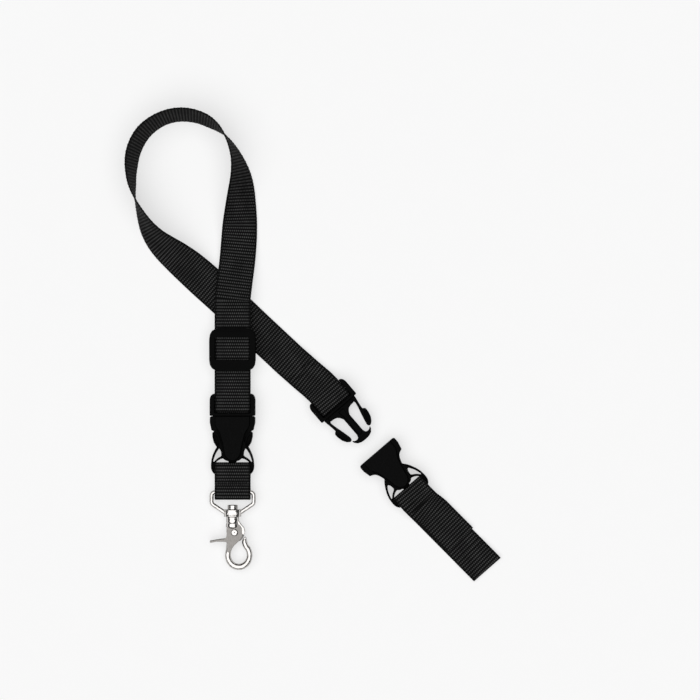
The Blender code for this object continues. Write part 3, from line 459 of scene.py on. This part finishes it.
def ring_faces(rings, count):
    """Quads between rings of count points, one after another."""
    start = np.arange(rings - 1)[:, None] * count
    here = np.arange(count)
    ahead = (here + 1) % count
    quads = np.stack([start + here, start + ahead, start + count + ahead, start + count + here], axis=2)
    return quads.reshape(-1, 4).tolist()


def end_caps(rings, count):
    """A face over the first ring and one over the last."""
    return [list(range(count)), list(range((rings - 1) * count, rings * count))[::-1]]


def weave(across, along):
    """The height of the weave from 0 to 1: ribs, with bumps that sit half a bump over on the next one."""
    row = np.round(along / RIB)
    rib = np.cos(math.pi * (along / RIB - row)) ** 2
    dots = 0.5 + 0.5 * np.cos(2 * math.pi * across / DOT + math.pi * row)
    return rib * (0.35 + 0.65 * dots)


def webbing(name, rows, body=None, nodes=()):
    """Ribbed webbing with beaded selvedges, along rows of a centre and the direction of its width."""
    rows, along = evenly(np.asarray(rows, float), RING_STEP)
    centre = rows[:, :3]
    heading = unit(np.gradient(centre, axis=0))
    width = rows[:, 3:]
    width = unit(width - heading * np.sum(width * heading, axis=1, keepdims=True))
    face = np.cross(heading, width)
    half = STRAP_WIDTH / 2 + PROUD
    flat_part = np.linspace(-half + SELVEDGE, half - SELVEDGE, COLUMNS)
    rim = half - SELVEDGE * np.array([0.0, 0.13, 0.5])
    across = np.concatenate([-rim, flat_part, rim[::-1]])
    past = np.clip((np.abs(across) - (half - SELVEDGE)) / SELVEDGE, 0, 1)
    round_off = np.sqrt(np.clip(1 - past**2, 0, 1))
    bead = 1 + BEAD * np.cos(2 * math.pi * along / RIB)
    top = weave(across[None, :], along[:, None])
    bottom = weave(across[None, :], along[:, None] + RIB / 2)
    rise = (STRAP_THICK / 2 - RELIEF * (1 - top)) * round_off
    drop = -(STRAP_THICK / 2 - RELIEF * (1 - bottom)) * round_off
    ups = np.concatenate([rise, drop[:, -2:0:-1]], axis=1)
    side = np.concatenate([across, across[-2:0:-1]])
    points = centre[:, None] + width[:, None] * (side * bead[:, None])[..., None]
    points += face[:, None] * ups[..., None]
    rings, count = ups.shape
    faces = ring_faces(rings, count)
    columns = len(across)
    for base in (0, (rings - 1) * count):
        for j in range(columns - 1):
            lower = [(count - j) % count, (count - j - 1) % count]
            if j == 0:
                faces.append([base, base + 1, base + count - 1])
            elif j == columns - 2:
                faces.append([base + j, base + j + 1, base + lower[0]])
            else:
                faces.append([base + j, base + j + 1, base + lower[1], base + lower[0]])
    obj = piece(name, points.reshape(-1, 3), faces, WEBBING, body, "webbing", nodes)
    where = np.zeros((rings, count, 3))
    where[..., 0] = side / MM
    where[..., 1] = along[:, None] / MM
    where[:, columns:, 1] += RIB / 2 / MM
    store = obj.data.attributes.new("weave_at", "FLOAT_VECTOR", "POINT")
    store.data.foreach_set("vector", where.astype(np.float32).ravel())
    fix_normals(obj)
    return obj


def fix_normals(obj):
    """Turns the faces outward."""
    mesh = obj.data
    mesh.calc_loop_triangles()
    points = np.zeros(len(mesh.vertices) * 3, np.float32)
    mesh.vertices.foreach_get("co", points)
    corners = np.zeros(len(mesh.loop_triangles) * 3, np.int32)
    mesh.loop_triangles.foreach_get("vertices", corners)
    a, b, c = points.reshape(-1, 3)[corners.reshape(-1, 3)].astype(float).transpose(1, 0, 2)
    if np.sum(a * np.cross(b, c)) < 0:
        mesh.flip_normals()


def tube(name, line, radii, sides, **worn):
    """A round bar along a line that lies flat, with a radius for each point."""
    heading = unit(np.gradient(line, axis=0))
    side = unit(np.cross(heading, (0, 0, 1)))
    rise = np.cross(side, heading)
    angle = np.linspace(0, 2 * math.pi, sides, endpoint=False)
    ring = side[:, None] * np.cos(angle)[:, None] + rise[:, None] * np.sin(angle)[:, None]
    points = line[:, None] + ring * radii[:, None, None]
    faces = ring_faces(len(line), sides) + end_caps(len(line), sides)
    obj = piece(name, points.reshape(-1, 3), faces, **worn)
    fix_normals(obj)
    return obj


def lathe(name, outline, at, along, sides=48, **worn):
    """A turned piece: rows of (radius, distance) about the line through at, in the direction along."""
    side = unit(np.cross(along, (1.0, 0, 0) if along[2] else (0, 0, 1.0)))
    up = np.cross(side, along)
    angle = np.linspace(0, 2 * math.pi, sides, endpoint=False)
    ring = side * np.cos(angle)[:, None] + up * np.sin(angle)[:, None]
    middle = np.asarray(at, float) + outline[:, 1:] * np.asarray(along, float)
    points = middle[:, None] + outline[:, None, :1] * ring
    faces = ring_faces(len(outline), sides) + end_caps(len(outline), sides)
    obj = piece(name, points.reshape(-1, 3), faces, **worn)
    fix_normals(obj)
    return obj


def cad_part(node):
    """A copy of a CAD node's mesh, to be melted into a piece."""
    obj = bpy.data.objects.new("part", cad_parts[node].data.copy())
    bpy.context.scene.collection.objects.link(obj)
    return obj


def slab(matrix, outline, half):
    """A block about a chain's middle plane: a flat outline and half its thickness, in mm."""
    outline = np.asarray(outline, float)
    count = len(outline)
    ends = [np.column_stack([outline, np.full(count, z)]) for z in (-half, half)]
    points = moved(matrix, mm(np.concatenate(ends)) + (0, 0, MID_Z))
    faces = ring_faces(2, count) + [list(range(count))[::-1], list(range(count, 2 * count))]
    obj = piece("part", points, faces, None)
    fix_normals(obj)
    return obj


def settled(obj):
    """Applies every modifier of a piece."""
    graph = bpy.context.evaluated_depsgraph_get()
    mesh = bpy.data.meshes.new_from_object(obj.evaluated_get(graph))
    old = obj.data
    obj.modifiers.clear()
    obj.data = mesh
    bpy.data.meshes.remove(old)
    return obj


def melted(name, parts, voxel, rounds, grown=0.0):
    """Parts joined into one skin, rounded by so many smoothing rounds and grown by what those take off."""
    points, faces, count = [], [], 0
    for part in parts:
        points.append(points_of(part))
        faces += [[count + v for v in polygon.vertices] for polygon in part.data.polygons]
        count += len(part.data.vertices)
        bpy.data.objects.remove(part)
    obj = piece(name, np.concatenate(points), faces, None)
    remesh = obj.modifiers.new("skin", "REMESH")
    remesh.mode = "VOXEL"
    remesh.voxel_size = voxel
    smooth = obj.modifiers.new("round", "SMOOTH")
    smooth.factor = 0.5
    smooth.iterations = rounds
    settled(obj)
    obj.data.shade_smooth()
    write_points(obj, points_of(obj) + normals_of(obj) * grown)
    return obj


def points_of(obj):
    """Rows of a mesh's points."""
    found = np.zeros(len(obj.data.vertices) * 3)
    obj.data.vertices.foreach_get("co", found)
    return found.reshape(-1, 3)


def normals_of(obj):
    """Rows of the normals at a mesh's points."""
    found = np.zeros(len(obj.data.vertices) * 3, np.float32)
    obj.data.vertex_normals.foreach_get("vector", found)
    return found.reshape(-1, 3).astype(float)


def write_points(obj, points):
    """Moves a mesh's points."""
    obj.data.vertices.foreach_set("co", points.astype(np.float32).ravel())
    obj.data.update()


def distance_to(points, line, closed=False):
    """How far flat points are from a line of flat points."""
    ends = np.roll(line, -1, axis=0) if closed else line[1:]
    starts = line if closed else line[:-1]
    best = np.full(len(points), np.inf)
    for a, b in zip(starts, ends):
        run = b - a
        share = np.clip((points - a) @ run / max(run @ run, 1e-12), 0, 1)
        best = np.minimum(best, np.linalg.norm(points - a - share[:, None] * run, axis=1))
    return best


def inside(points, outline):
    """Whether flat points lie inside a closed outline."""
    found = np.zeros(len(points), bool)
    for (x0, y0), (x1, y1) in zip(outline, np.roll(outline, -1, axis=0)):
        crosses = (y0 > points[:, 1]) != (y1 > points[:, 1])
        slope = (x1 - x0) / (y1 - y0) if y1 != y0 else 0.0
        found ^= crosses & (points[:, 0] < x0 + (points[:, 1] - y0) * slope)
    return found


def eased(value):
    """A smooth step from 0 to 1."""
    value = np.clip(value, 0, 1)
    return value * value * (3 - 2 * value)


def carve(obj, matrix, depth_at):
    """Sinks the upper and lower faces by depth_at, of flat points in the chain's frame and their heights."""
    points, normals = points_of(obj), normals_of(obj)
    local = local_points(obj, matrix)
    facing = eased((np.abs(normals[:, 2]) - 0.45) / 0.4)
    points[:, 2] -= np.sign(normals[:, 2]) * facing * depth_at(local[:, :2], local[:, 2])
    write_points(obj, points)


def both_sides(half):
    """A closed outline from its right half."""
    half = np.asarray(half, float)
    return np.concatenate([half, half[::-1] * (-1, 1)])


def grooves(points, line, width, depth):
    """A rounded groove along a line given in mm, and its mirror image across the chain's axis."""
    apart = [distance_to(points, mm(line) * (side, 1)) for side in (1, -1)]
    return depth * (1 - eased(np.minimum(*apart) / (width / 2)))


def local_points(obj, matrix):
    """Rows of a mesh's points in a chain's frame."""
    return moved(matrix.inverted(), points_of(obj))


# ---------------------------------------------------------------- camera, floor and light


def look_straight_down():
    """The camera looks straight down from high above the layout, and sees half a metre of floor."""
    camera = bpy.data.objects.new("camera", bpy.data.cameras.new("camera"))
    bpy.context.scene.collection.objects.link(camera)
    height, seen_width, sensor = 1.9, 0.4998, 36
    camera.location = (0.0259, -0.0033, height)
    camera.data.sensor_width = sensor
    camera.data.lens = sensor * height / seen_width
    camera.data.clip_start = 0.05
    bpy.context.scene.camera = camera


def light_and_floor():
    """One broad soft panel overhead in a dim room, over a pale table."""
    reach = 3.0
    corners = [(-reach, -reach, 0), (reach, -reach, 0), (reach, reach, 0), (-reach, reach, 0)]
    floor = piece("floor", corners, [[0, 1, 2, 3]], floor_material())
    clear_of_piece = 0.0003
    floor.location.z = cad_box[0].z - clear_of_piece
    panel = bpy.data.lights.new("overhead_panel", "SUN")
    panel.energy = 2.72
    panel.angle = math.radians(96)
    sky = bpy.data.objects.new("overhead_panel", panel)
    sky.rotation_euler = (math.radians(6), math.radians(-8), 0)
    bpy.context.scene.collection.objects.link(sky)
    world = bpy.data.worlds.new("studio")
    world.use_nodes = True
    background = world.node_tree.nodes["Background"]
    background.inputs["Color"].default_value = (1, 1, 1, 1)
    background.inputs["Strength"].default_value = 0.06
    bpy.context.scene.world = world
    bpy.context.scene.view_settings.view_transform = "Standard"


# ---------------------------------------------------------------- webbing pieces


def across_rows(matrix, points, side=1):
    """Rows of a centre in a chain's frame and of the width, which lies straight across the chain."""
    width = turned(matrix, np.tile((side, 0, 0), (len(points), 1)))
    return np.concatenate([moved(matrix, points), width], axis=1)


def wrap(matrix, side=1):
    """Rows round a male buckle's bar, from the top layer to the bottom one."""
    angles = np.radians(np.linspace(90, -90, 25))
    forward = (LAYER_RISE + FOLD_SWELL) * np.cos(angles)
    points = np.stack([0 * angles, BAR_BACK - forward, MID_Z + LAYER_RISE * np.sin(angles)], axis=1)
    return across_rows(matrix, points, side)


def main_strap_rows():
    """Rows of the main strap from its layer under buckle A to its sewn end under buckle B."""
    start = across_rows(CHAIN_A, [(0, UNDER_A_END, MID_Z - LAYER_RISE)], -1)
    around_a = wrap(CHAIN_A, -1)[::-1]
    flat = np.array(ROUTE) + (*LAYOUT_SHIFT, 0, 0)
    small_tilt = (1, 1, MM, 1)
    flat = curve(flat * small_tilt, CURVE_STEP) / small_tilt
    heading = unit(np.gradient(flat[:, :2], axis=0))
    left = np.stack([-heading[:, 1], heading[:, 0], 0 * flat[:, 0]], axis=1)
    tilt = np.radians(flat[:, 2])
    width = left * np.cos(tilt)[:, None] + np.array((0, 0, 1)) * np.sin(tilt)[:, None]
    rise = np.maximum(flat[:, 3], 0) * OVER_BAR
    rise += np.abs(np.sin(tilt)) * (STRAP_WIDTH / 2 + PROUD) + np.abs(np.cos(tilt)) * STRAP_THICK / 2
    loop = np.column_stack([flat[:, :2], rise, width])
    upper = across_rows(CHAIN_B, np.array(LEAD_IN_B) + (0, 0, STRAP_THICK / 2))
    around_b = wrap(CHAIN_B)
    under = across_rows(CHAIN_B, [(x, y, z) for (x, y, _), z in zip(LEAD_IN_B[4:0:-1], RETURN_B_HEIGHTS)])
    lead = curve([loop[-LEAD_FROM], loop[-1], *upper, around_b[0]], CURVE_STEP)
    out = curve([around_b[-1], *under], CURVE_STEP)
    rows = np.concatenate([start, around_a, loop[:-LEAD_FROM], lead[:-1], around_b, out[1:]])
    rows[:, 2] = np.maximum(rows[:, 2], STRAP_THICK / 2 + FLOOR_GAP)
    return rows


def side_rows(matrix, path, slip=None):
    """Rows of webbing whose side view is a path of (y, z) in millimetres, z from the chain's middle plane."""
    path = curve(np.column_stack([0 * np.array(path)[:, 0], mm(path)]), SIDE_STEP)
    path[:, 2] += MID_Z
    if slip is not None:
        path += slip(path)
    return across_rows(matrix, path)


def d_ring_fold():
    """The side view of a fold round a D-ring's bar."""
    return arc((FOLD_TURN, 0), FOLD_RISE, 90, -90, 10).tolist()


def make_main_strap():
    """The strap from buckle A round the hand loop to buckle B."""
    rows = main_strap_rows()
    strap = webbing("strap_webbing", rows, "strap", ["main_strap"])


def make_slider_webbing():
    """The layer that feeds the slider, and the strap end sewn round its middle bar."""
    layer = MID_Z - LAYER_RISE
    end, low, joint_gap = 26.4, -2.5, 0.0003
    feed = [(0, y, layer) for y in (UNDER_A_END + joint_gap, 0.0175, end * MM)]
    rows = across_rows(CHAIN_A, feed, -1)
    strip = webbing("feed_webbing", rows, None, ["slider_feed_webbing"])
    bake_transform(strip)

    rise, turn = 1.7, (50.75, -0.8)
    path = [(end, low), (end + 6, low), (end + 12, low), (turn[0] - 4, low)]
    path += arc(turn, rise, -90, 90, 10).tolist()
    path += [(turn[0] - 4, 0.9), (end + 12, 0.6), (end + 7, -0.9), (end, -0.9)]
    rows = side_rows(CHAIN_A, path)
    sewn = webbing("slider_sewn_webbing", rows, "slider", ["slider_sewn_end"])


def make_short_loop():
    """One strip round the D-ring and the bracket, its ends lapped and sewn between them."""
    path = [(-48.7, 1.98), (-46.0, 1.98), (-43.6, 2.35), (-41.5, 2.62), (-39.0, 2.65), *d_ring_fold()]
    path += [(-39.0, -2.65), (-41.5, -2.6), (-43.6, -2.0), (-45.6, -1.0), (-47.4, -0.66), (-49.2, -0.9)]
    path += [(-51.0, -1.6), (-53.0, -2.45), (-55.0, -2.65)]
    path += arc((-56.75, 0), FOLD_RISE, 270, 90, 10).tolist()
    path += [(-55.0, 2.65), (-53.0, 2.45), (-51.0, 1.6), (-49.2, 0.85)]
    path += [(-47.4, 0.66), (-45.4, 0.66), (-43.8, 0.7)]
    rows = side_rows(CHAIN_A, path)
    loop = webbing("short_loop_webbing", rows, "loop_a", ["short_loop_a"])


def tail_slip(points):
    """How far the tail swings sideways and drops to the floor past its stitches, its upper layer further."""
    away = -points[:, 1] / MM
    drop = eased((away - TACK_AT + 3) / 14) * (MID_Z - STRAP_THICK)
    swing = np.maximum(away - SWING_FROM, 0) * math.tan(math.radians(TAIL_SWING)) * MM
    upper = eased((points[:, 2] - MID_Z) / (STRAP_THICK / 2))
    slip = upper * eased((away - TACK_AT) / 12) * (away < UPPER_END) * LAYER_SLIP
    return np.stack([swing + slip, 0 * swing, -drop], axis=1)


def make_tail():
    """The tail folded over the D-ring's bar, its hem turned up at the end."""
    path = [(-87.1, 0.65), (-80, 0.65), (-70, 0.65), (-60, 0.65), (-53, 0.65), (-49.6, 0.65), (-47.6, 1.15)]
    path += [(-45.2, 2.1), (-43.0, 2.6), (-40.0, 2.65), *d_ring_fold(), (-40.0, -2.65), (-43.0, -2.6)]
    path += [(-45.2, -2.1), (-47.6, -1.15), (-49.6, -0.65), (-53, -0.65)]
    path += [(y, -0.65) for y in range(-60, -111, -10)]
    path += [(-113.0, -0.65), *arc((-114.65, 0), 0.65, 270, 90, 6).tolist(), (-113.0, 0.65), (-105, 0.65)]
    path += [(-98, 0.65), (-96.1, 0.65)]
    rows = side_rows(FEMALE_B, path, tail_slip)
    tail = webbing("tail_webbing", rows, "tail_b", ["tail_webbing_b"])


def stitching(name, seams, body, size=0.00022, rise=0.00016):
    """Threads along (start, end, up) seams, each a run of short bridges that dip at both ends."""
    points, faces = [], []
    sides = 6
    angle = np.linspace(0, 2 * math.pi, sides, endpoint=False)
    heights = rise * np.array([-2.2, 0.2, 0.9, 1.0, 0.9, 0.2, -2.2])
    for start, end, up in seams:
        run = end - start
        count = max(1, round(np.linalg.norm(run) / STITCH))
        ring = np.cross(unit(run), up) * np.cos(angle)[:, None] + np.array(up) * np.sin(angle)[:, None]
        for i in range(count):
            shares = i / count + np.linspace(0.04, 0.96, len(heights)) / count
            line = start + shares[:, None] * run + heights[:, None] * up
            faces += [[v + len(points) * sides for v in quad] for quad in ring_faces(len(line), sides)]
            points += [here + ring * size for here in line]
    return piece(name, np.concatenate(points), faces, THREAD, body, "webbing")


def seam(matrix, start, end, side=1, slip=None):
    """A seam on the upper or lower side of a chain's webbing; ends in mm, z from the chain's middle plane."""
    ends = mm([start, end]) + (0, 0, MID_Z)
    if slip is not None:
        ends = ends + slip(ends)
    ends = moved(matrix, ends)
    return ends[0], ends[1], np.array((0.0, 0.0, side))


def seams_across(matrix, half, places, slip=None):
    """Seams of a half length straight across a chain, at places of y, height and side."""
    return [seam(matrix, (-half, y, z), (half, y, z), side, slip) for y, z, side in places]


def bar_tack(matrix, y, half, reach, z, slip):
    """A dense bar of short slanting threads side by side across a chain, on both faces; sizes in mm."""
    pitch, slant = 0.33, 0.16
    found = []
    for x in np.arange(-half, half + 0.01, pitch):
        for side in (1, -1):
            found.append(seam(matrix, (x, y - reach, side * z), (x + slant, y + reach, side * z), side, slip))
    return found


def make_stitching():
    """The thread at every sewn end."""
    short, wide = 10.6, 11.0
    top = -1.72
    at = [seam(CHAIN_B, (x - short, y, top), (x + short, y, top)) for x, y in ((-2.6, 35.5), (-3.1, 39.0))]
    stitching("strap_end_stitching", at, "strap")
    places = [(y, z, side) for y in (28.6, 32.0) for z, side in ((-0.25, 1), (-3.15, -1))]
    stitching("slider_end_stitching", seams_across(CHAIN_A, short, places), "slider")
    places = [(y, z, side) for y in (-46.2, -47.7) for z, side in ((2.63, 1), (-1.34, -1))]
    stitching("short_loop_stitching", seams_across(CHAIN_A, wide, places), "loop_a")
    at = bar_tack(FEMALE_B, -TACK_AT, half=9.4, reach=0.75, z=1.2, slip=tail_slip)
    stitching("tail_tack_stitching", at, "tail_b", size=0.0002, rise=0.0003)
    places = [(-98.3, 1.22, 1), (-98.3, -1.22, -1)]
    stitching("tail_hem_stitching", seams_across(FEMALE_B, wide, places, tail_slip), "tail_b")


# ---------------------------------------------------------------- moulded plastic

FACE_EDGE = [(12.0, 1.0), (12.0, -6.6), (10.8, -8.8), (9.4, -11.0), (8.3, -13.4), (7.7, -16.0), (6.8, -19.0)]
FACE_EDGE += [(6.1, -22.6), (5.4, -26.8), (4.3, -29.2), (2.4, -30.9), (0.0, -31.6)]


def make_female(letter, matrix):
    """The shell with its grained raised face, sunken rims and channelled D-ring."""
    body = f"female_{letter}"
    shell = melted(body + "_shell", [cad_part(body + "_body")], MOULDED_VOXEL, 4)
    outline = both_sides(mm(FACE_EDGE))
    channel = [(9.6, -20.6), (11.4, -23.3), (12.9, -26.6), (13.9, -30.2), (14.3, -34.2), (14.2, -37.6)]
    channel += [(13.2, -39.8)]
    arch = [(6.6, -29.7), (8.6, -30.2), (11.6, -31.6)]
    step_depth, trench_depth, trench_from = 0.00055, 0.0004, -0.0095
    face_level, side_level = 3.9, 0.0042

    def depth(flat, z):
        """The step and trench round the raised face, and the lines in the D-ring."""
        to_edge = distance_to(flat, outline, closed=True)
        signed = np.where(inside(flat, outline), -to_edge, to_edge)
        tall = eased((np.abs(z - MID_Z) / MM - face_level) / 0.5)
        sunk = step_depth * eased(signed / 0.0004) * tall
        trench = trench_depth * (1 - eased(np.abs(signed - 0.0007) / 0.0006)) * (flat[:, 1] < trench_from)
        lines = grooves(flat, channel, 0.0011, 0.00055), grooves(flat, arch, 0.0007, 0.0003)
        return sunk + trench + lines[0] + lines[1]

    carve(shell, matrix, depth)
    dressed(shell, GRAINED, body, [body + "_body"])
    shell.data.materials.append(ACETAL)
    centres = np.zeros(len(shell.data.polygons) * 3)
    shell.data.polygons.foreach_get("center", centres)
    local = moved(matrix.inverted(), centres.reshape(-1, 3))
    plain = ~inside(local[:, :2], outline) | (np.abs(local[:, 2] - MID_Z) < side_level)
    shell.data.polygons.foreach_set("material_index", plain.astype(np.int32))


def make_male(letter, matrix):
    """The frame with its tongue, and the two arms with their sunken grips."""
    body = f"male_{letter}"
    root = [(11.4, 0.8), (11.4, -2.6), (10.6, -3.3), (7.8, -3.5), (5.6, -4.2), (4.0, -5.8), (2.7, -8.2)]
    parts = [cad_part(body + "_frame"), slab(matrix, both_sides(root), 2)]
    male = melted(body + "_moulding", parts, MOULDED_VOXEL, 4)
    tongue = [(0, -1.6), (2.6, -1.8), (2.2, -3.8), (1.7, -6.6), (1.7, -22.6), (1.2, -23.6), (0, -24)]
    tongue = both_sides(mm(tongue))
    head = both_sides(mm([(0, -25.4), (2.6, -25.6), (5.2, -26.2), (3.4, -27.6), (0, -28)]))
    tongue_depth, head_depth, edge_round = 0.0005, 0.0003, 0.0005

    def depth(flat, _):
        """The sunken panels of the tongue and its head."""
        found = np.zeros(len(flat))
        for outline, sink in ((tongue, tongue_depth), (head, head_depth)):
            share = eased(distance_to(flat, outline, closed=True) / edge_round)
            found += sink * share * inside(flat, outline)
        return found

    carve(male, matrix, depth)
    dressed(male, ACETAL, body, [body + "_frame"])
    arm_root = np.array([(13.9, 1.0), (13.9, -1.0), (13.4, -4.2), (11.7, -4.6), (10.9, -2.8), (10.8, 1.0)])
    panel = [(13.1, -12.6), (13.5, -14.6), (12.9, -17.6), (11.4, -20.4), (9.7, -21.6), (9.2, -20.4)]
    panel = mm(panel + [(9.9, -17.6), (11.1, -14.2)])
    panel_depth, rib_depth, rib_pitch, rib_slant = 0.00028, 0.0003, 0.0017, 0.45
    for side, sign in (("left", -1), ("right", 1)):
        parts = [cad_part(f"{body}_{side}_arm"), slab(matrix, arm_root * (sign, 1), 2.3)]
        arm = melted(f"{body}_{side}_grip", parts, ARM_VOXEL, 3, 0.00012)

        def grip(flat, _, sign=sign):
            """Slanting ribs in a sunken panel."""
            flat = flat * (sign, 1)
            share = eased(distance_to(flat, panel, closed=True) / edge_round) * inside(flat, panel)
            ribs = 0.5 + 0.5 * np.cos(2 * math.pi * (flat[:, 1] + rib_slant * flat[:, 0]) / rib_pitch)
            return share * (panel_depth + rib_depth * ribs)

        carve(arm, matrix, grip)
        dressed(arm, ACETAL, f"arm_{letter}_{side}", [f"{body}_{side}_arm"])


def make_slider():
    """The tri-glide slider, its upper face falling away towards both ends."""
    slider = melted("slider_moulding", [cad_part("slider_frame")], MOULDED_VOXEL, 5)
    points, normals = points_of(slider), normals_of(slider)
    local = local_points(slider, CHAIN_A)
    top_level, flat_half, fall_run, fall_depth = 0.0085, 0.0112, 0.004, 0.0006
    upper = eased((normals[:, 2] - 0.3) / 0.4) * (local[:, 2] > top_level)
    fall = eased((np.abs(local[:, 1] - SLIDER_AT) - flat_half) / fall_run)
    points[:, 2] -= upper * fall * fall_depth
    write_points(slider, points)
    dressed(slider, ACETAL, "slider", ["slider_frame"])


# ---------------------------------------------------------------- metal


def chain_a(x, y, z=0.0):
    """A place in chain A's frame, in mm, z from its middle plane."""
    return tuple(moved(CHAIN_A, [(x * MM, y * MM, MID_Z + z * MM)])[0])


def make_bracket():
    """The bracket, with two turned lines round its collar."""
    bracket = melted("bracket_casting", [cad_part("bracket")], BRACKET_VOXEL, 4, 0.0001)
    points, normals = points_of(bracket), normals_of(bracket)
    local = local_points(bracket, CHAIN_A) / MM
    radial = np.hypot(local[:, 0], local[:, 2] - MID_Z / MM)
    bore, collar_half, line_depth, line_half = 3.4, 6.6, 0.25, 0.35
    collar = (radial > bore) & (np.abs(local[:, 0]) < collar_half)
    front, back = (1 - eased(np.abs(local[:, 1] - y) / line_half) for y in (-70.7, -67.6))
    points -= normals * (collar * np.maximum(front, 0.6 * back) * line_depth)[:, None] * MM
    write_points(bracket, points)
    dressed(bracket, NICKEL, "bracket", ["bracket"])


def make_hook():
    """The casting: ring of round section, boss with its spring pocket, neck, post and peened head."""
    x, y = RIVET_AT
    body = cad_part("hook_body")
    boss_below = 4.6
    top, bottom = y - boss_below, y - 40
    cutter = slab(CHAIN_A, [(-14, bottom), (14, bottom), (14, top), (-14, top)], 6)
    trim = body.modifiers.new("trim", "BOOLEAN")
    trim.object = cutter
    trim.solver = "EXACT"
    settled(body)
    bpy.data.objects.remove(cutter)
    ring = [(7.5, -3.3, 0.45), (7.3, -4.2, 0.95), (7.05, -5.4, 1.45), (7.0, -7.0, 1.8), (7.5, -8.8, 1.9)]
    ring += [(8.3, -10.3, 1.9)]
    middle, reach, bar, swell, thickest_at = (2.85, -16.2), (7.75, 8.4), 1.9, 0.25, -100
    for angle in range(36, -191, -8):
        turn = math.radians(angle)
        thick = bar + swell * max(0.0, math.cos(math.radians(angle - thickest_at)))
        ring.append((middle[0] + reach[0] * math.cos(turn), middle[1] + reach[1] * math.sin(turn), thick))
    ring += [(-4.2, -12.1, 2.0), (-3.8, -9.4, 2.1), (-3.4, -6.4, 2.2), (-3.0, -3.4, 2.2)]
    ring = curve(np.array([(a, b, 0, r) for a, b, r in ring]), 0.5)
    line = moved(CHAIN_A, mm(ring[:, :3] + (x, y, MID_Z / MM)))
    loop = tube("loop", line, mm(ring[:, 3]), 28, material=None)
    neck = [(3.7, 0.0), (4.3, 0.35), (4.4, 1.2), (4.4, 3.6), (4.15, 3.9), (4.15, 4.3), (4.5, 4.7), (4.7, 7.0)]
    neck += [(3.0, 8.5)]
    neck = lathe("neck", mm(neck), chain_a(0, -72.0), (0, -1, 0), material=None)
    post = [(2.0, 0.0), (2.0, 6.4), (3.3, 6.45), (3.45, 6.9), (3.3, 7.3), (3.05, 7.6), (3.15, 8.1)]
    post += [(3.5, 8.6), (3.5, 9.1), (3.1, 9.45), (0.4, 9.5)]
    post = lathe("post", mm(post), chain_a(0, -73.0), (0, 1, 0), material=None)
    hook = melted("hook_casting", [body, loop, neck, post], HOOK_VOXEL, 4, 0.00005)
    dressed(hook, NICKEL, "hook", ["hook_body"])


def make_lever():
    """The stamped lever, the rivet that it turns on and its spring."""
    lever = melted("lever_stamping", [cad_part("trigger_lever")], LEVER_VOXEL, 3)
    dressed(lever, BRUSHED, "lever", ["trigger_lever"])
    shank, cheek, head, crown = 1.2, 3.6, 2.5, 0.95
    dome = [(head * math.cos(a), cheek + crown * math.sin(a)) for a in np.linspace(0, 1.5, 9)]
    outline = [(shank, 0.0), (shank, cheek), (2.3, cheek), *dome]
    whole = mm([(r, -z) for r, z in reversed(outline)] + outline[1:])
    worn = {"material": NICKEL, "body": "hook", "slot": "nickel", "nodes": ["lever_rivet"]}
    lathe("rivet_turned", whole, chain_a(*RIVET_AT), (0, 0, 1), **worn)
    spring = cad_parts["trigger_spring"]
    spring.data.materials.clear()
    spring.data.materials.append(SPRING)


look_straight_down()
light_and_floor()
make_stitching()
make_main_strap()
make_slider_webbing()
make_short_loop()
make_tail()
make_slider()
make_male("a", CHAIN_A)
make_male("b", CHAIN_B)
make_female("a", CHAIN_A)
make_female("b", FEMALE_B)
make_bracket()
make_hook()
make_lever()
